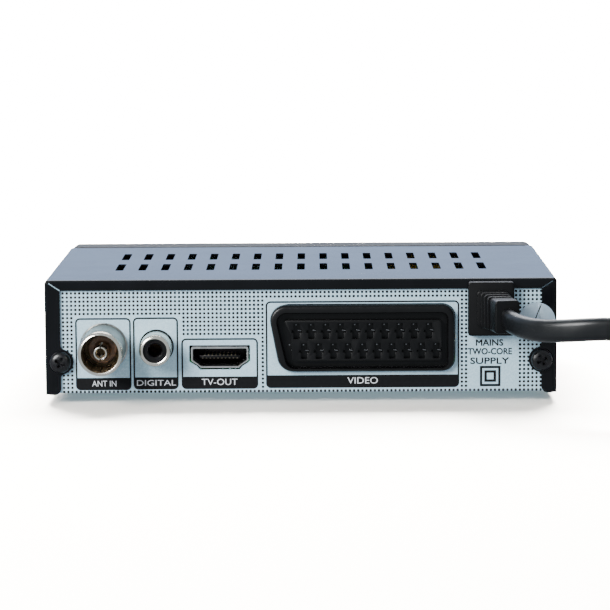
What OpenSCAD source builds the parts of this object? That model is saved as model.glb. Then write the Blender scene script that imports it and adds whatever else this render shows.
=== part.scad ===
// A set-top digital video recorder: folded steel case, moulded front, rear sockets and a fixed mains lead.
// Axes: +X to the right seen from the front, +Y towards the rear sockets, +Z up.
// Origin: on the standing surface, under the middle of the recorder without its lead.

/* [Case] */
// Width of the case
case_w = 132; // [132:1:150]
// Depth of the case, rear panel to front face
case_d = 88; // [88:1:110]
// Height of the case without its feet
case_h = 30; // [30:0.5:34]
// Thickness of the steel sheet
sheet = 0.6; // [0.5:0.1:0.7]
// Depth of the moulded front
bezel_d = 10; // [10:0.5:12]
// Gap that the feet leave under the case
foot_gap = 2.5; // [2:0.5:5]
// Width of the folded edge that the cover shows on the rear
edge_w = 3.6; // [3.2:0.1:4]
// Height of the cover screws above the case bottom
cover_screw_v = 8.7; // [7:0.1:10]

/* [Cover vents] */
// Slots in each of the two rows
vent_count = 17; // [3:2:17]
// Distance between neighbouring slots
vent_pitch = 6.05; // [5:0.05:7]
// Width of a slot
vent_w = 2.1; // [1.5:0.1:2.5]
// Length of a slot, front to back
vent_l = 14.8; // [10:0.2:15]
// Distances of the two rows' middles from the rear panel
vent_rows = [28.3, 53.3];

/* [Aerial socket] */
// Place across the case, from its middle
rf_x = 51.2; // [50:0.1:52]
// Height of its axis above the case bottom
rf_v = 12.5; // [12:0.1:13]
// Radius of the barrel outside
rf_outer_r = 5.9; // [5.8:0.05:6]
// Radius of the barrel inside
rf_inner_r = 4.8; // [4.75:0.05:4.9]
// Length of the barrel outside the panel
rf_reach = 13.5; // [11:0.5:14]

/* [Digital audio socket] */
// Place across the case, from its middle
rca_x = 37.5; // [37:0.1:38]
// Radius of the barrel outside
rca_outer_r = 4.15; // [4.1:0.05:4.2]
// Radius of the hole for the plug's middle pin
rca_hole_r = 1.7; // [1.65:0.05:1.8]
// Length of the barrel outside the panel
rca_reach = 8.2; // [7:0.1:9]

/* [Picture sockets] */
// Place of the small digital picture socket
hdmi_x = 21.1; // [20:0.1:22]
// Height of its axis above the case bottom
hdmi_v = 9.6; // [9.5:0.1:9.8]
// Place of the wide audio and video socket
scart_x = -16; // [-17:0.1:-15]
// Height of its middle above the case bottom
scart_v = 14.6; // [14.4:0.1:14.8]
// Distance between contacts in a row
scart_pitch = 3.81; // [3.7:0.01:3.9]

/* [Front] */
// Width of the display window
window_w = 54; // [50:1:54]
// Height of the display window
window_h = 14; // [12:1:14]
// Height of the buttons' row above the case bottom
button_v = 15; // [14:0.5:16]
// How far a button stands out of the front
button_proud = 0.8; // [0.6:0.1:1.2]

/* [Mains lead] */
// Width of the flat lead
lead_w = 5.8; // [5.2:0.1:6.2]
// Thickness of the flat lead
lead_t = 3.4; // [3.2:0.1:3.6]
// How far the strain relief stands out of the panel
relief_reach = 16; // [14:0.5:16]
// Place of the strain relief across the case
relief_x = -49.2; // [-50:0.1:-48]
// Height of its middle above the case bottom
relief_v = 22.35; // [22:0.05:22.5]

/* [Hidden] */

round_fn = 64;      // facets of a round shape in a preview
arc_steps = 6;      // segments of a rounded corner in an outline
gap = 0.15;         // working gap between fixed pieces

// Planes across the depth: the aerial socket's tip and the buttons' faces are equally far from the origin.
rear_y = (case_d + button_proud - rf_reach) / 2;
front_y = rear_y - case_d;
split_y = front_y + bezel_d;     // where the cover and tray meet the moulded front

// Heights.
case_z = foot_gap;               // bottom edge of the cover
tray_z = case_z + 0.5;           // underside of the tray
deck_z = tray_z + sheet;         // top of the tray's sheet
board_t = 1.6;
board_z = case_z + 5.25;         // underside of the main board
board_top = board_z + board_t;
roof_z = case_z + case_h;
half_w = case_w / 2;
tray_half = half_w - sheet - 0.1;
flange_y = rear_y + 0.05;        // inner face of the cover's rear edge
flange_out = flange_y + sheet;

rf_z = case_z + rf_v;
hdmi_z = case_z + hdmi_v;
scart_z = case_z + scart_v;
relief_z = case_z + relief_v;
button_z = case_z + button_v;
screw_x = half_w - edge_w;
screw_z = case_z + cover_screw_v;

// ---- Outlines and solids that several sub-parts share ----

function unit(v) = v / norm(v);

// The arc that rounds corner b of the outline a-b-c.
function corner(a, b, c, r, n = arc_steps) =
    let (
        u = unit(a - b),
        v = unit(c - b),
        half = acos(u * v) / 2,
        centre = b + unit(u + v) * r / sin(half),
        p = b + u * r / tan(half) - centre,
        q = b + v * r / tan(half) - centre,
        start = atan2(p.y, p.x),
        turn = atan2(p.x * q.y - p.y * q.x, p * q)
    )
    [for (i = [0:n]) centre + r * [cos(start + turn * i / n), sin(start + turn * i / n)]];

// The outline with every corner rounded; radii holds one radius for each corner.
function rounded(pts, radii, n = arc_steps) =
    let (last = len(pts) - 1)
    [for (i = [0:last])
        each corner(pts[i == 0 ? last : i - 1], pts[i], pts[i == last ? 0 : i + 1], radii[i], n)];

function rect(x0, y0, x1, y1) = [[x0, y0], [x1, y0], [x1, y1], [x0, y1]];
function round_rect(x0, y0, x1, y1, r, n = arc_steps) = rounded(rect(x0, y0, x1, y1), [r, r, r, r], n);
function round_box(x, z, w, h, r) = round_rect(x - w / 2, z - h / 2, x + w / 2, z + h / 2, r);

module block(x0, y0, z0, x1, y1, z1) {
    translate([x0, y0, z0]) cube([x1 - x0, y1 - y0, z1 - z0]);
}

// An outline in X and Z, filled from y0 to y1.
module slab_y(y0, y1, pts) {
    translate([0, y1, 0]) rotate([90, 0, 0]) linear_extrude(y1 - y0) polygon(pts);
}

module slab_z(z0, z1, pts) {
    translate([0, 0, z0]) linear_extrude(z1 - z0) polygon(pts);
}

module rod_y(x, z, y0, y1, r) {
    translate([x, y1, z]) rotate([90, 0, 0]) cylinder(h = y1 - y0, r = r, $fn = round_fn);
}

module rod_z(x, y, z0, z1, r) {
    translate([x, y, z0]) cylinder(h = z1 - z0, r = r, $fn = round_fn);
}

// A tube swept along points; its section is wide along Z and thin across, or round when the two are equal.
function sweep_dir(p, i) = unit(p[min(i + 1, len(p) - 1)] - p[max(i - 1, 0)]);
function sweep_ring(p, i, thick, wide, sides) =
    let (d = sweep_dir(p, i), side = unit(cross(d, [0, 0, 1])), up = cross(side, d))
    [for (k = [0:sides - 1])
        let (a = 360 * k / sides) p[i] + side * cos(a) * thick / 2 + up * sin(a) * wide / 2];

module sweep(p, thick, wide, sides) {
    rings = len(p);
    polyhedron(
        points = [for (i = [0:rings - 1]) each sweep_ring(p, i, thick, wide, sides)],
        faces = [
            [for (k = [0:sides - 1]) sides - 1 - k],
            for (i = [0:rings - 2]) for (k = [0:sides - 1])
                let (a = i * sides + k, b = i * sides + (k + 1) % sides)
                each [[a, b, b + sides], [a, b + sides, a + sides]],
            [for (k = [0:sides - 1]) (rings - 1) * sides + k]
        ]);
}

// Points of a smooth curve through p, with n steps between neighbours.
function smooth_point(a, b, c, d, t) =
    0.5 * (2 * b + (c - a) * t + (2 * a - 5 * b + 4 * c - d) * t * t + (3 * b - a - 3 * c + d) * t * t * t);
function smooth(p, n) =
    let (last = len(p) - 1)
    [for (i = [0:last - 1]) for (j = [0:n - 1])
        smooth_point(p[max(i - 1, 0)], p[i], p[i + 1], p[min(i + 2, last)], j / n), p[last]];

// ---- Case ----

tray_side_h = 14;     // height of the tray's folded sides
standoff_r = 2.5;
standoff_bore_r = 1.25;
standoffs = [[-57.5, split_y + 7], [57.5, split_y + 7], [-57.5, rear_y - 17], [57.5, rear_y - 34]];
tray_vents = [for (i = [-6:6]) i * 7];
lug_v = 9;            // height of the front's side lugs above the case bottom

scart_w = 47.8;
scart_h = 17.4;
scart_slant = 3.3;    // how far the slanting side leans in at the bottom
function scart_outline(side, level, r) = rounded(
    [
        [scart_x - scart_w / 2 - side, scart_z + scart_h / 2 + level],
        [scart_x - scart_w / 2 - side, scart_z - scart_h / 2 - level],
        [scart_x + scart_w / 2 - scart_slant + side, scart_z - scart_h / 2 - level],
        [scart_x + scart_w / 2 + side, scart_z + scart_h / 2 + level]
    ],
    [r, r, r + 0.8, r + 0.8]);

// Half of the small picture socket's outline is mirrored, wide at the top and stepped in below.
hdmi_w = 14.9;
hdmi_h = 5.5;
function hdmi_half(grow) = [
    [hdmi_w / 2 + grow, hdmi_h / 2 + grow],
    [hdmi_w / 2 + grow, -0.9 - grow * 0.4],
    [hdmi_w / 2 - 1.7 + grow * 0.4, -hdmi_h / 2 + 0.75 - grow * 0.6],
    [hdmi_w / 2 - 2.5 + grow * 0.4, -hdmi_h / 2 - grow]
];
function hdmi_outline(grow, r) =
    let (h = hdmi_half(grow), n = len(h))
    rounded(
        [for (p = h) [hdmi_x + p.x, hdmi_z + p.y],
         for (i = [n - 1:-1:0]) [hdmi_x - h[i].x, hdmi_z + h[i].y]],
        [for (i = [1:2 * n]) r], 3);

relief_neck_w = 9;
relief_neck_low = relief_z - 4.95;
relief_neck_top = roof_z - edge_w + 0.85;

module panel_openings() {
    rod_y(rf_x, rf_z, rear_y - 2, rear_y + 1, rf_outer_r + 0.35);
    rod_y(rca_x, rf_z, rear_y - 2, rear_y + 1, rca_outer_r + 0.35);
    slab_y(rear_y - 2, rear_y + 1, hdmi_outline(0.45, 0.3));
    slab_y(rear_y - 2, rear_y + 1, scart_outline(0.2, 0.2, 3.4));
    block(relief_x - relief_neck_w / 2 - gap, rear_y - 2, relief_neck_low - gap,
          relief_x + relief_neck_w / 2 + gap, rear_y + 1, roof_z);
    for (side = [-1, 1]) rod_y(side * screw_x, screw_z, rear_y - 2, rear_y + 1, 1.5);
}

module base_tray() {
    color("lightsteelblue") difference() {
        union() {
            block(-tray_half, split_y, tray_z, tray_half, rear_y, deck_z);
            block(-tray_half, rear_y - sheet, tray_z, tray_half, rear_y, roof_z - sheet - gap);
            block(-tray_half + 4, split_y, tray_z, tray_half - 4, split_y + sheet, deck_z + 3);
            for (side = [-1, 1])
                block(min(side * tray_half, side * (tray_half - sheet)), split_y, tray_z,
                      max(side * tray_half, side * (tray_half - sheet)), rear_y, tray_z + tray_side_h);
            for (p = standoffs) rod_z(p.x, p.y, deck_z - 0.1, board_z, standoff_r);
        }
        panel_openings();
        for (p = standoffs) rod_z(p.x, p.y, tray_z - 1, board_z + 1, standoff_bore_r);
        for (x = tray_vents) for (y = [-16, 4])
            block(x - 1, y - 7, tray_z - 1, x + 1, y + 7, deck_z + 1);
        for (side = [-1, 1])
            block(side * half_w - 3, split_y + 2, case_z + lug_v - 0.2,
                  side * half_w + 3, split_y + 4.4, case_z + lug_v + 3.2);
    }
}

bend_r = 1;           // outside radius of the cover's folds
tab_r = 3.3;          // radius of the ears that carry the cover screws

function cover_outline(inset) = [
    [-half_w + inset, case_z],
    each [for (p = corner([-half_w + inset, case_z], [-half_w + inset, roof_z - inset],
                          [half_w - inset, roof_z - inset], bend_r - inset * 0.9)) p],
    each [for (p = corner([-half_w + inset, roof_z - inset], [half_w - inset, roof_z - inset],
                          [half_w - inset, case_z], bend_r - inset * 0.9)) p],
    [half_w - inset, case_z]
];

module rear_edges() {
    mitre = 0.16;     // half the open seam between the top edge and a side edge
    top_low = roof_z - edge_w + 0.9;
    reach = edge_w - 0.9;
    slab_y(flange_y, flange_out, [
        [-half_w + bend_r * 0.4 + mitre, roof_z - 0.2], [-half_w + reach + mitre, top_low],
        [half_w - reach - mitre, top_low], [half_w - bend_r * 0.4 - mitre, roof_z - 0.2]]);
    for (side = [0, 1]) mirror([side, 0, 0]) {
        slab_y(flange_y, flange_out, [
            [half_w - edge_w, top_low - 1.1],
            each corner([half_w - edge_w, top_low], [half_w - edge_w, case_z], [half_w, case_z], 1.4),
            each corner([half_w - edge_w, case_z], [half_w, case_z], [half_w, top_low], 1.4),
            [half_w, roof_z - bend_r * 0.4 - mitre * 2]]);
        rod_y(screw_x, screw_z, flange_y, flange_out, tab_r);
    }
}

module top_cover() {
    color("darkslategray") difference() {
        union() {
            difference() {
                slab_y(split_y, flange_out, cover_outline(0));
                slab_y(split_y - 1, flange_out + 1, cover_outline(sheet));
            }
            rear_edges();
        }
        for (row = vent_rows) for (i = [0:vent_count - 1]) {
            x = (i - (vent_count - 1) / 2) * vent_pitch;
            block(x - vent_w / 2, rear_y - row - vent_l / 2, roof_z - 2,
                  x + vent_w / 2, rear_y - row + vent_l / 2, roof_z + 1);
        }
        for (side = [-1, 1]) rod_y(side * screw_x, screw_z, rear_y - 1, flange_out + 1, 1.6);
    }
}

foot_r = 4.5;
foot_places = [
    for (x = [-1, 1]) for (y = [-1, 1]) [x * (half_w - 13), y * (case_d / 2 - 25) + (rear_y + front_y) / 2]
];

module rubber_feet() {
    color("dimgray") for (p = foot_places) rod_z(p.x, p.y, 0, tray_z, foot_r);
}

screw_head_r = 2.8;
screw_head_h = 1.9;

// A pan-head screw on the Y axis, its head towards +Y and its underside at y0, with a cross recess.
module pan_screw(head_r, head_h, shank_r, shank_l) {
    difference() {
        union() {
            translate([0, head_h, 0]) rotate([90, 0, 0])
                cylinder(h = head_h, r1 = head_r * 0.72, r2 = head_r, $fn = round_fn);
            rod_y(0, 0, -shank_l, 0.05, shank_r);
        }
        for (a = [0, 90]) rotate([0, a, 0])
            block(-head_r * 0.55, head_h * 0.35, -head_r * 0.13, head_r * 0.55, head_h + 1, head_r * 0.13);
    }
}

module cover_screws() {
    color("black") for (side = [-1, 1])
        translate([side * screw_x, flange_out, screw_z]) pan_screw(screw_head_r, screw_head_h, 1.4, 6);
}

sticker_r = 4.75;
sticker_x = -60.9;

module round_sticker() {
    color("gainsboro") rod_y(sticker_x, case_z + 18.9, flange_out + 0.02, flange_out + 0.17, sticker_r);
}

// ---- Front ----

face_t = 2;                     // thickness of the moulded front's face
bezel_wall = 1.6;
bezel_top = roof_z + 0.4;
lens_t = 1.2;
window_z = case_z + 15;
usb_x = 47;
usb_z = board_top + 2.9;
power_x = -55;
down_x = -43.5;
up_x = -34;
power_r = 4.2;
key_w = 7;
key_h = 4.6;
light_x = 32.5;
front_board_y = front_y + 7.6;
front_board_t = 1.2;
boss_places = [[-49.2, case_z + 24.2], [30, case_z + 24.2]];

module bezel_shell() {
    difference() {
        slab_y(front_y, split_y, round_rect(-half_w, case_z, half_w, bezel_top, 2.5));
        slab_y(front_y + face_t, split_y + 1,
               round_rect(-half_w + bezel_wall, case_z + bezel_wall,
                          half_w - bezel_wall, bezel_top - bezel_wall, 1));
        slab_y(front_y - 1, front_y + lens_t, round_box(0, window_z, window_w, window_h, 1.5));
        slab_y(front_y - 1, front_y + face_t + 1, round_box(0, window_z, window_w - 3, window_h - 3, 0.8));
        slab_y(front_y - 1, front_y + face_t + 1, round_box(usb_x, usb_z, 13.8, 6.4, 0.6));
        rod_y(power_x, button_z, front_y - 1, front_y + face_t + 1, power_r + 0.2);
        for (x = [down_x, up_x])
            slab_y(front_y - 1, front_y + face_t + 1, round_box(x, button_z, key_w + 0.4, key_h + 0.4, 1.4));
        rod_y(light_x, button_z, front_y - 1, front_y + face_t + 1, 1.1);
    }
}

module front_bezel() {
    color("black") difference() {
        union() {
            bezel_shell();
            for (p = boss_places) rod_y(p.x, p.y, front_y + face_t - 0.1, front_board_y, 2.4);
            block(-60, split_y - 0.1, roof_z - sheet - 1.2, 60, split_y + 1.3, roof_z - sheet - 0.1);
            for (side = [0, 1]) mirror([side, 0, 0]) {
                block(half_w - 3.1, split_y - 3, case_z + lug_v,
                      half_w - 1.6, split_y + 5, case_z + lug_v + 3);
                block(half_w - 1.7, split_y + 2.2, case_z + lug_v,
                      half_w - 0.9, split_y + 4.2, case_z + lug_v + 3);
            }
        }
        for (p = boss_places) rod_y(p.x, p.y, front_y + face_t + 0.8, front_board_y + 1, 0.9);
    }
}

module display_window() {
    color("darkslateblue")
        slab_y(front_y + 0.05, front_y + lens_t,
               round_box(0, window_z, window_w - 0.3, window_h - 0.3, 1.4));
}

collar_y = front_y + face_t + 0.1;   // front of the collar that keeps a button in
collar_t = 0.8;
stem_end = front_y + 3.4;            // where a button meets its switch

module power_button() {
    color("silver") {
        rod_y(power_x, button_z, front_y - button_proud, collar_y + 0.05, power_r);
        rod_y(power_x, button_z, collar_y, collar_y + collar_t, power_r + 0.9);
        rod_y(power_x, button_z, collar_y + collar_t - 0.05, stem_end, 1.6);
    }
}

module key_button(x) {
    slab_y(front_y - button_proud, collar_y + 0.05, round_box(x, button_z, key_w, key_h, 1.2));
    slab_y(collar_y, collar_y + collar_t, round_box(x, button_z, key_w + 1.4, key_h + 1.6, 1.2));
    rod_y(x, button_z, collar_y + collar_t - 0.05, stem_end, 1.6);
}

module channel_down_button() { color("silver") key_button(down_x); }
module channel_up_button() { color("silver") key_button(up_x); }

module standby_light_pipe() {
    color("white") {
        rod_y(light_x, button_z, front_y - 0.2, front_y + face_t + 0.1, 1);
        rod_y(light_x, button_z, front_y + face_t + 0.05, front_y + 3.4, 1.6);
    }
}

module front_board() {
    color("darkgreen") difference() {
        block(-61, front_board_y, case_z + 5, 37, front_board_y + front_board_t, case_z + 27);
        for (p = boss_places) rod_y(p.x, p.y, front_board_y - 1, front_board_y + 3, 1.1);
    }
}

module front_board_screws() {
    color("silver") for (p = boss_places)
        translate([p.x, front_board_y + front_board_t, p.y]) pan_screw(2, 1.3, 0.85, 4.4);
}

module digit_display() {
    color("dimgray") block(-15.5, front_board_y - 5, window_z - 6.4, 15.5, front_board_y, window_z + 6.4);
}

switch_t = 3.5;
plunger_r = 1.7;

module tact_switches() {
    color("black") for (x = [power_x, down_x, up_x]) difference() {
        block(x - 3, front_board_y - switch_t, button_z - 3, x + 3, front_board_y, button_z + 3);
        rod_y(x, button_z, front_board_y - switch_t - 1, front_board_y - switch_t + 1.3, plunger_r + 0.05);
    }
}

module plunger(x) {
    color("white") rod_y(x, button_z, stem_end, front_board_y - switch_t + 0.7, plunger_r);
}

module power_plunger() { plunger(power_x); }
module channel_down_plunger() { plunger(down_x); }
module channel_up_plunger() { plunger(up_x); }

module infrared_receiver() {
    color("black") {
        block(19, front_board_y - 3.6, window_z - 3, 25, front_board_y, window_z + 3.5);
        rod_y(22, window_z + 0.6, front_board_y - 4.8, front_board_y - 3.5, 2.2);
    }
}

module standby_led() {
    color("red") {
        rod_y(light_x, button_z, front_y + 3.6, front_board_y - 1, 1.5);
        rod_y(light_x, button_z, front_board_y - 1.1, front_board_y, 1.9);
    }
}

usb_y = front_y + 0.3;
usb_l = 14;

module usb_socket_shell() {
    color("silver") difference() {
        slab_y(usb_y, usb_y + usb_l, round_box(usb_x, usb_z, 13.1, 5.7, 0.5));
        slab_y(usb_y - 1, usb_y + usb_l - 1, round_box(usb_x, usb_z, 12.4, 5, 0.3));
    }
}

module usb_socket_tongue() {
    color("black") {
        block(usb_x - 6.1, usb_y + usb_l - 3, usb_z - 2.4, usb_x + 6.1, usb_y + usb_l - 1.05, usb_z + 2.4);
        block(usb_x - 5.5, usb_y + 1.2, usb_z + 0.35, usb_x + 5.5, usb_y + usb_l - 2.9, usb_z + 2.1);
    }
}

// ---- Rear sockets ----

socket_y = rear_y - 1.2;        // rear faces of the sockets' bodies, just inside the panel

module rf_socket_barrel() {
    color("silver") difference() {
        union() {
            rod_y(rf_x, rf_z, socket_y, rear_y + 0.3, rf_outer_r - 0.2);
            rod_y(rf_x, rf_z, rear_y + 0.2, rear_y + rf_reach - 0.5, rf_outer_r);
            translate([rf_x, rear_y + rf_reach, rf_z]) rotate([90, 0, 0])
                cylinder(h = 0.5, r1 = rf_outer_r - 0.35, r2 = rf_outer_r, $fn = round_fn);
        }
        rod_y(rf_x, rf_z, rear_y + 2, rear_y + rf_reach + 1, rf_inner_r);
        rod_y(rf_x, rf_z, socket_y - 1, rear_y + 2.1, 3.4);
    }
}

module rf_socket_insulator() {
    color("tan") difference() {
        union() {
            rod_y(rf_x, rf_z, socket_y, rear_y + 2.05, 3.35);
            rod_y(rf_x, rf_z, rear_y + 2.05, rear_y + 4.2, 3.7);
        }
        rod_y(rf_x, rf_z, socket_y - 1, rear_y + 5, 1.95);
    }
}

module rf_center_contact() {
    color("silver") difference() {
        rod_y(rf_x, rf_z, socket_y + 0.3, rear_y + rf_reach - 1.5, 1.9);
        rod_y(rf_x, rf_z, rear_y + 2, rear_y + rf_reach, 1.25);
        block(rf_x - 0.2, rear_y + 5, rf_z - 3, rf_x + 0.2, rear_y + rf_reach, rf_z + 3);
    }
}

module tuner_can() {
    color("silver") difference() {
        block(rf_x - 8, socket_y - 26, board_top, rf_x + 8.8, socket_y, rf_z + 6.6);
        block(rf_x - 7.5, socket_y - 25.5, board_top - 1, rf_x + 8.3, socket_y - 0.5, rf_z + 6.1);
        rod_y(rf_x, rf_z, socket_y - 1, socket_y + 1, 1.3);
    }
}

module rca_socket_shell() {
    color("silver") difference() {
        union() {
            rod_y(rca_x, rf_z, socket_y, rear_y + 0.3, rca_outer_r - 0.2);
            rod_y(rca_x, rf_z, rear_y + 0.2, rear_y + rca_reach - 0.4, rca_outer_r);
            translate([rca_x, rear_y + rca_reach, rf_z]) rotate([90, 0, 0])
                cylinder(h = 0.4, r1 = rca_outer_r - 0.3, r2 = rca_outer_r, $fn = round_fn);
        }
        rod_y(rca_x, rf_z, socket_y - 1, rear_y + rca_reach + 1, 3.3);
    }
}

module rca_socket_body() {
    color("black") difference() {
        union() {
            block(rca_x - 4.9, socket_y - 12, board_top, rca_x + 4.9, socket_y, rf_z + 5);
            rod_y(rca_x, rf_z, socket_y - 0.1, rear_y + rca_reach - 0.9, 3.25);
        }
        rod_y(rca_x, rf_z, socket_y - 8, rear_y + rca_reach, rca_hole_r);
        rod_y(rca_x, rf_z, socket_y - 8, rear_y - 0.5, rca_hole_r + 0.35);
    }
}

module rca_center_contact() {
    color("gold") difference() {
        rod_y(rca_x, rf_z, socket_y - 7.9, rear_y - 0.6, rca_hole_r + 0.3);
        rod_y(rca_x, rf_z, socket_y - 7, rear_y, rca_hole_r);
    }
}

hdmi_y = rear_y + 0.2;
hdmi_l = 11.5;

module hdmi_socket_shell() {
    color("silver") difference() {
        slab_y(hdmi_y - hdmi_l, hdmi_y, hdmi_outline(0, 0.5));
        slab_y(hdmi_y - hdmi_l + 1, hdmi_y + 1, hdmi_outline(-0.45, 0.3));
    }
}

module hdmi_socket_tongue() {
    color("black") {
        slab_y(hdmi_y - hdmi_l + 1, hdmi_y - hdmi_l + 4, hdmi_outline(-0.5, 0.3));
        block(hdmi_x - 6, hdmi_y - hdmi_l + 3.9, hdmi_z - 0.35, hdmi_x + 6, hdmi_y - 1.6, hdmi_z + 0.85);
    }
}

// Nineteen flat contacts, ten below the tongue and nine above it.
module hdmi_contacts() {
    color("gold") for (i = [0:9]) {
        block(hdmi_x - 4.62 + i, hdmi_y - 7.4, hdmi_z - 0.43,
              hdmi_x - 4.38 + i, hdmi_y - 2, hdmi_z - 0.35);
        if (i < 9)
            block(hdmi_x - 4.12 + i, hdmi_y - 7.4, hdmi_z + 0.85,
                  hdmi_x - 3.88 + i, hdmi_y - 2, hdmi_z + 0.93);
    }
}

scart_proud = 1.8;              // how far the wide socket stands out of the panel
scart_row = 5.25;               // distance between its two rows
scart_floor = rear_y - 6;       // bottom of the groove round its contact block
scart_face = rear_y + 0.4;      // face of the contact block
scart_top_x = [for (i = [0:9]) scart_x + 0.25 + (4.5 - i) * scart_pitch];
scart_low_x = [for (x = scart_top_x) x - scart_pitch / 2];
scart_rows = [[scart_top_x, scart_z + scart_row / 2 - 0.87], [scart_low_x, scart_z - scart_row / 2 - 0.87]];

function scart_block() = rounded(
    [
        [scart_x - 20.5, scart_z + 4.6],
        [scart_x - 20.5, scart_z - 6.1],
        [scart_x + 17.6, scart_z - 6.1],
        [scart_x + 18.9, scart_z + 0.6],
        [scart_x + 20, scart_z + 4.6]
    ],
    [0.8, 0.8, 0.8, 0.8, 0.6], 3);

function scart_recess() = rounded(
    [
        [scart_x - 21.4, scart_z + 6.45],
        [scart_x - 21.4, scart_z - 7.05],
        [scart_x + 18.04, scart_z - 7.05],
        [scart_x + 20.9, scart_z + 6.45]
    ],
    [1.4, 1.4, 1.4, 1.4]
);

module scart_housing() {
    color("black") difference() {
        union() {
            slab_y(socket_y, rear_y + scart_proud, scart_outline(0, 0, 3.2));
            block(scart_x - 23.6, socket_y - 13, board_top, scart_x + 23.6, socket_y + 0.1, scart_z + 8);
        }
        difference() {
            slab_y(scart_floor, rear_y + scart_proud + 1, scart_recess());
            slab_y(scart_floor - 1, scart_face, scart_block());
        }
        for (row = scart_rows) for (x = row[0]) {
            block(x - 0.8, scart_floor, row[1] - 2.1, x + 0.8, scart_face + 1, row[1] + 2.1);
            block(x - 1.2, scart_face - 3, row[1] - 0.45, x + 1.2, scart_face + 1, row[1] + 0.45);
        }
    }
}

module scart_contacts() {
    color("silver") for (row = scart_rows) for (x = row[0])
        block(x - 0.5, scart_floor + 0.1, row[1] - 1.9, x - 0.2, scart_face - 1.4, row[1] + 1.9);
}

// ---- Mains lead ----

relief_plate_w = 11.7;
relief_plate_h = 13.8;
relief_plate_y = flange_out + 0.05;
rib_count = 4;
rib_step = 1.75;
relief_turn = 2.6;              // each rib leans this much further towards the lead, in degrees

// A flat piece of the relief's neck: i counts from the plate outwards.
module relief_slice(i, w, h, depth) {
    translate([relief_x - 0.3 - 0.5 * i, relief_plate_y + 2.4 + rib_step * i, relief_z - 0.14 * i])
        rotate([0, 0, relief_turn * i])
            slab_y(-0.1, depth, round_box(0, 0, w, h, 1));
}

module cord_strain_relief() {
    color("black") {
        slab_y(relief_plate_y, relief_plate_y + 2.5,
               round_box(relief_x, relief_z, relief_plate_w, relief_plate_h, 0.8));
        slab_y(rear_y - sheet - 0.2, relief_plate_y + 0.1,
               round_rect(relief_x - relief_neck_w / 2, relief_neck_low, relief_x + relief_neck_w / 2,
                          relief_neck_top - gap, 0.6));
        slab_y(rear_y - 4, rear_y - sheet - 0.05,
               round_rect(relief_x - relief_plate_w / 2, relief_z - 6.6, relief_x + relief_plate_w / 2,
                          relief_z + 6, 0.6));
        for (i = [0:rib_count - 1]) {
            relief_slice(i, 6.6 - 0.2 * i, 8.4 - 0.1 * i, rib_step + 0.1);
            relief_slice(i, 7.8 - 0.35 * i, 9.5 - 0.25 * i, 1);
        }
        relief_slice(rib_count, 6.35, 8.4, relief_reach - 3.2 - rib_step * rib_count);
    }
}

// The lead's route: distance left of the middle seen from the front, distance behind the panel, height.
lead_route = [
    [50.9, 9, 24.5], [51.35, 12, 24.2], [52.4, 15.8, 23.55], [53.55, 20, 22.9], [55.45, 24.1, 22.4],
    [58.05, 27.8, 22.1], [61.25, 31, 22.05], [64.95, 33.6, 22.3], [69.1, 35.55, 22.65],
    [73.45, 36.7, 22.8], [78, 37.1, 22.65], [84, 36.8, 22.1], [90, 36, 20.5], [96, 34.6, 17.75],
    [102, 32.65, 13.9], [108, 30.2, 9.7], [114, 27.7, 6.6], [120, 25.75, 4.6], [126, 24.35, 3.65],
    [132, 23.55, 3.6], [138, 23.25, 3.6]
];
function placed(route) = [for (p = route) [-p.x, rear_y + p.y, p.z]];

// The coil: three turns side by side in each of two layers, each turn standing on edge.
turn_gap = 3.65;
layer_gap = 5.9;
turns_across = 3;
coil_r = 34.6;                  // to the middle of the turns
coil_x = -138;
coil_y = rear_y - 15;
coil_out = coil_r + turns_across * turn_gap / 2;
coil_in = coil_r - turns_across * turn_gap / 2;
coil_low = 0.7;
coil_high = coil_low + 2 * layer_gap;
plug_x = coil_x - 28;
plug_y = coil_y + 12;           // where the plug's body begins
plug_z = coil_high + 6.9;

// The far end leaves the outer turn, lies half a turn round on top of the coil and enters the plug.
// Its points: from the coil's middle, and height.
tail_route = [
    [9.9, -36.95, 9.75], [19.1, -33.1, 10.7], [27.05, -27.05, 12.3], [33.1, -19.1, 14.1],
    [36.95, -9.9, 15.6], [38.25, 0, 16.25], [36.95, 9.9, 16.1], [33.1, 19.1, 15.8],
    [27.05, 27.05, 15.6], [19.1, 33.1, 15.6], [9.9, 36.95, 15.7], [-1, 38.25, 16],
    [-10.25, 36.6, 16.7], [-18.35, 31.95, 17.5], [-24.4, 24.75, 18.4], [-27.6, 15.95, 19.1],
    [-28, 10, 19.4], [-28, 4, 19.4]
];

module mains_lead() { color("black") sweep(smooth(placed(lead_route), 2), lead_t, lead_w, 10); }

module mains_lead_tail() {
    color("black") translate([coil_x, coil_y, 0]) sweep(smooth(tail_route, 2), lead_t, lead_w, 10);
}

module mains_lead_coil() {
    color("black") translate([coil_x, coil_y, coil_low]) rotate_extrude($fn = 96)
        translate([coil_in, 0]) square([coil_out - coil_in, coil_high - coil_low]);
}

// A flat tie wrapped round the coil's bundle on the side next to the case.
tie_w = 5;
tie_t = 0.7;

module coil_tie() {
    x0 = coil_x + coil_in - tie_t - 0.15;
    x1 = coil_x + coil_out + tie_t + 0.15;
    color("white") difference() {
        block(x0, coil_y - tie_w / 2, 0, x1, coil_y + tie_w / 2, coil_high + tie_t);
        block(x0 + tie_t, coil_y - tie_w, coil_low, x1 - tie_t, coil_y + tie_w, coil_high);
    }
}

plug_l = 36;
plug_pin_gap = 18.6;
pin_l = 19;
pin_r = 2;
sleeve_l = 10;

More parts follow.
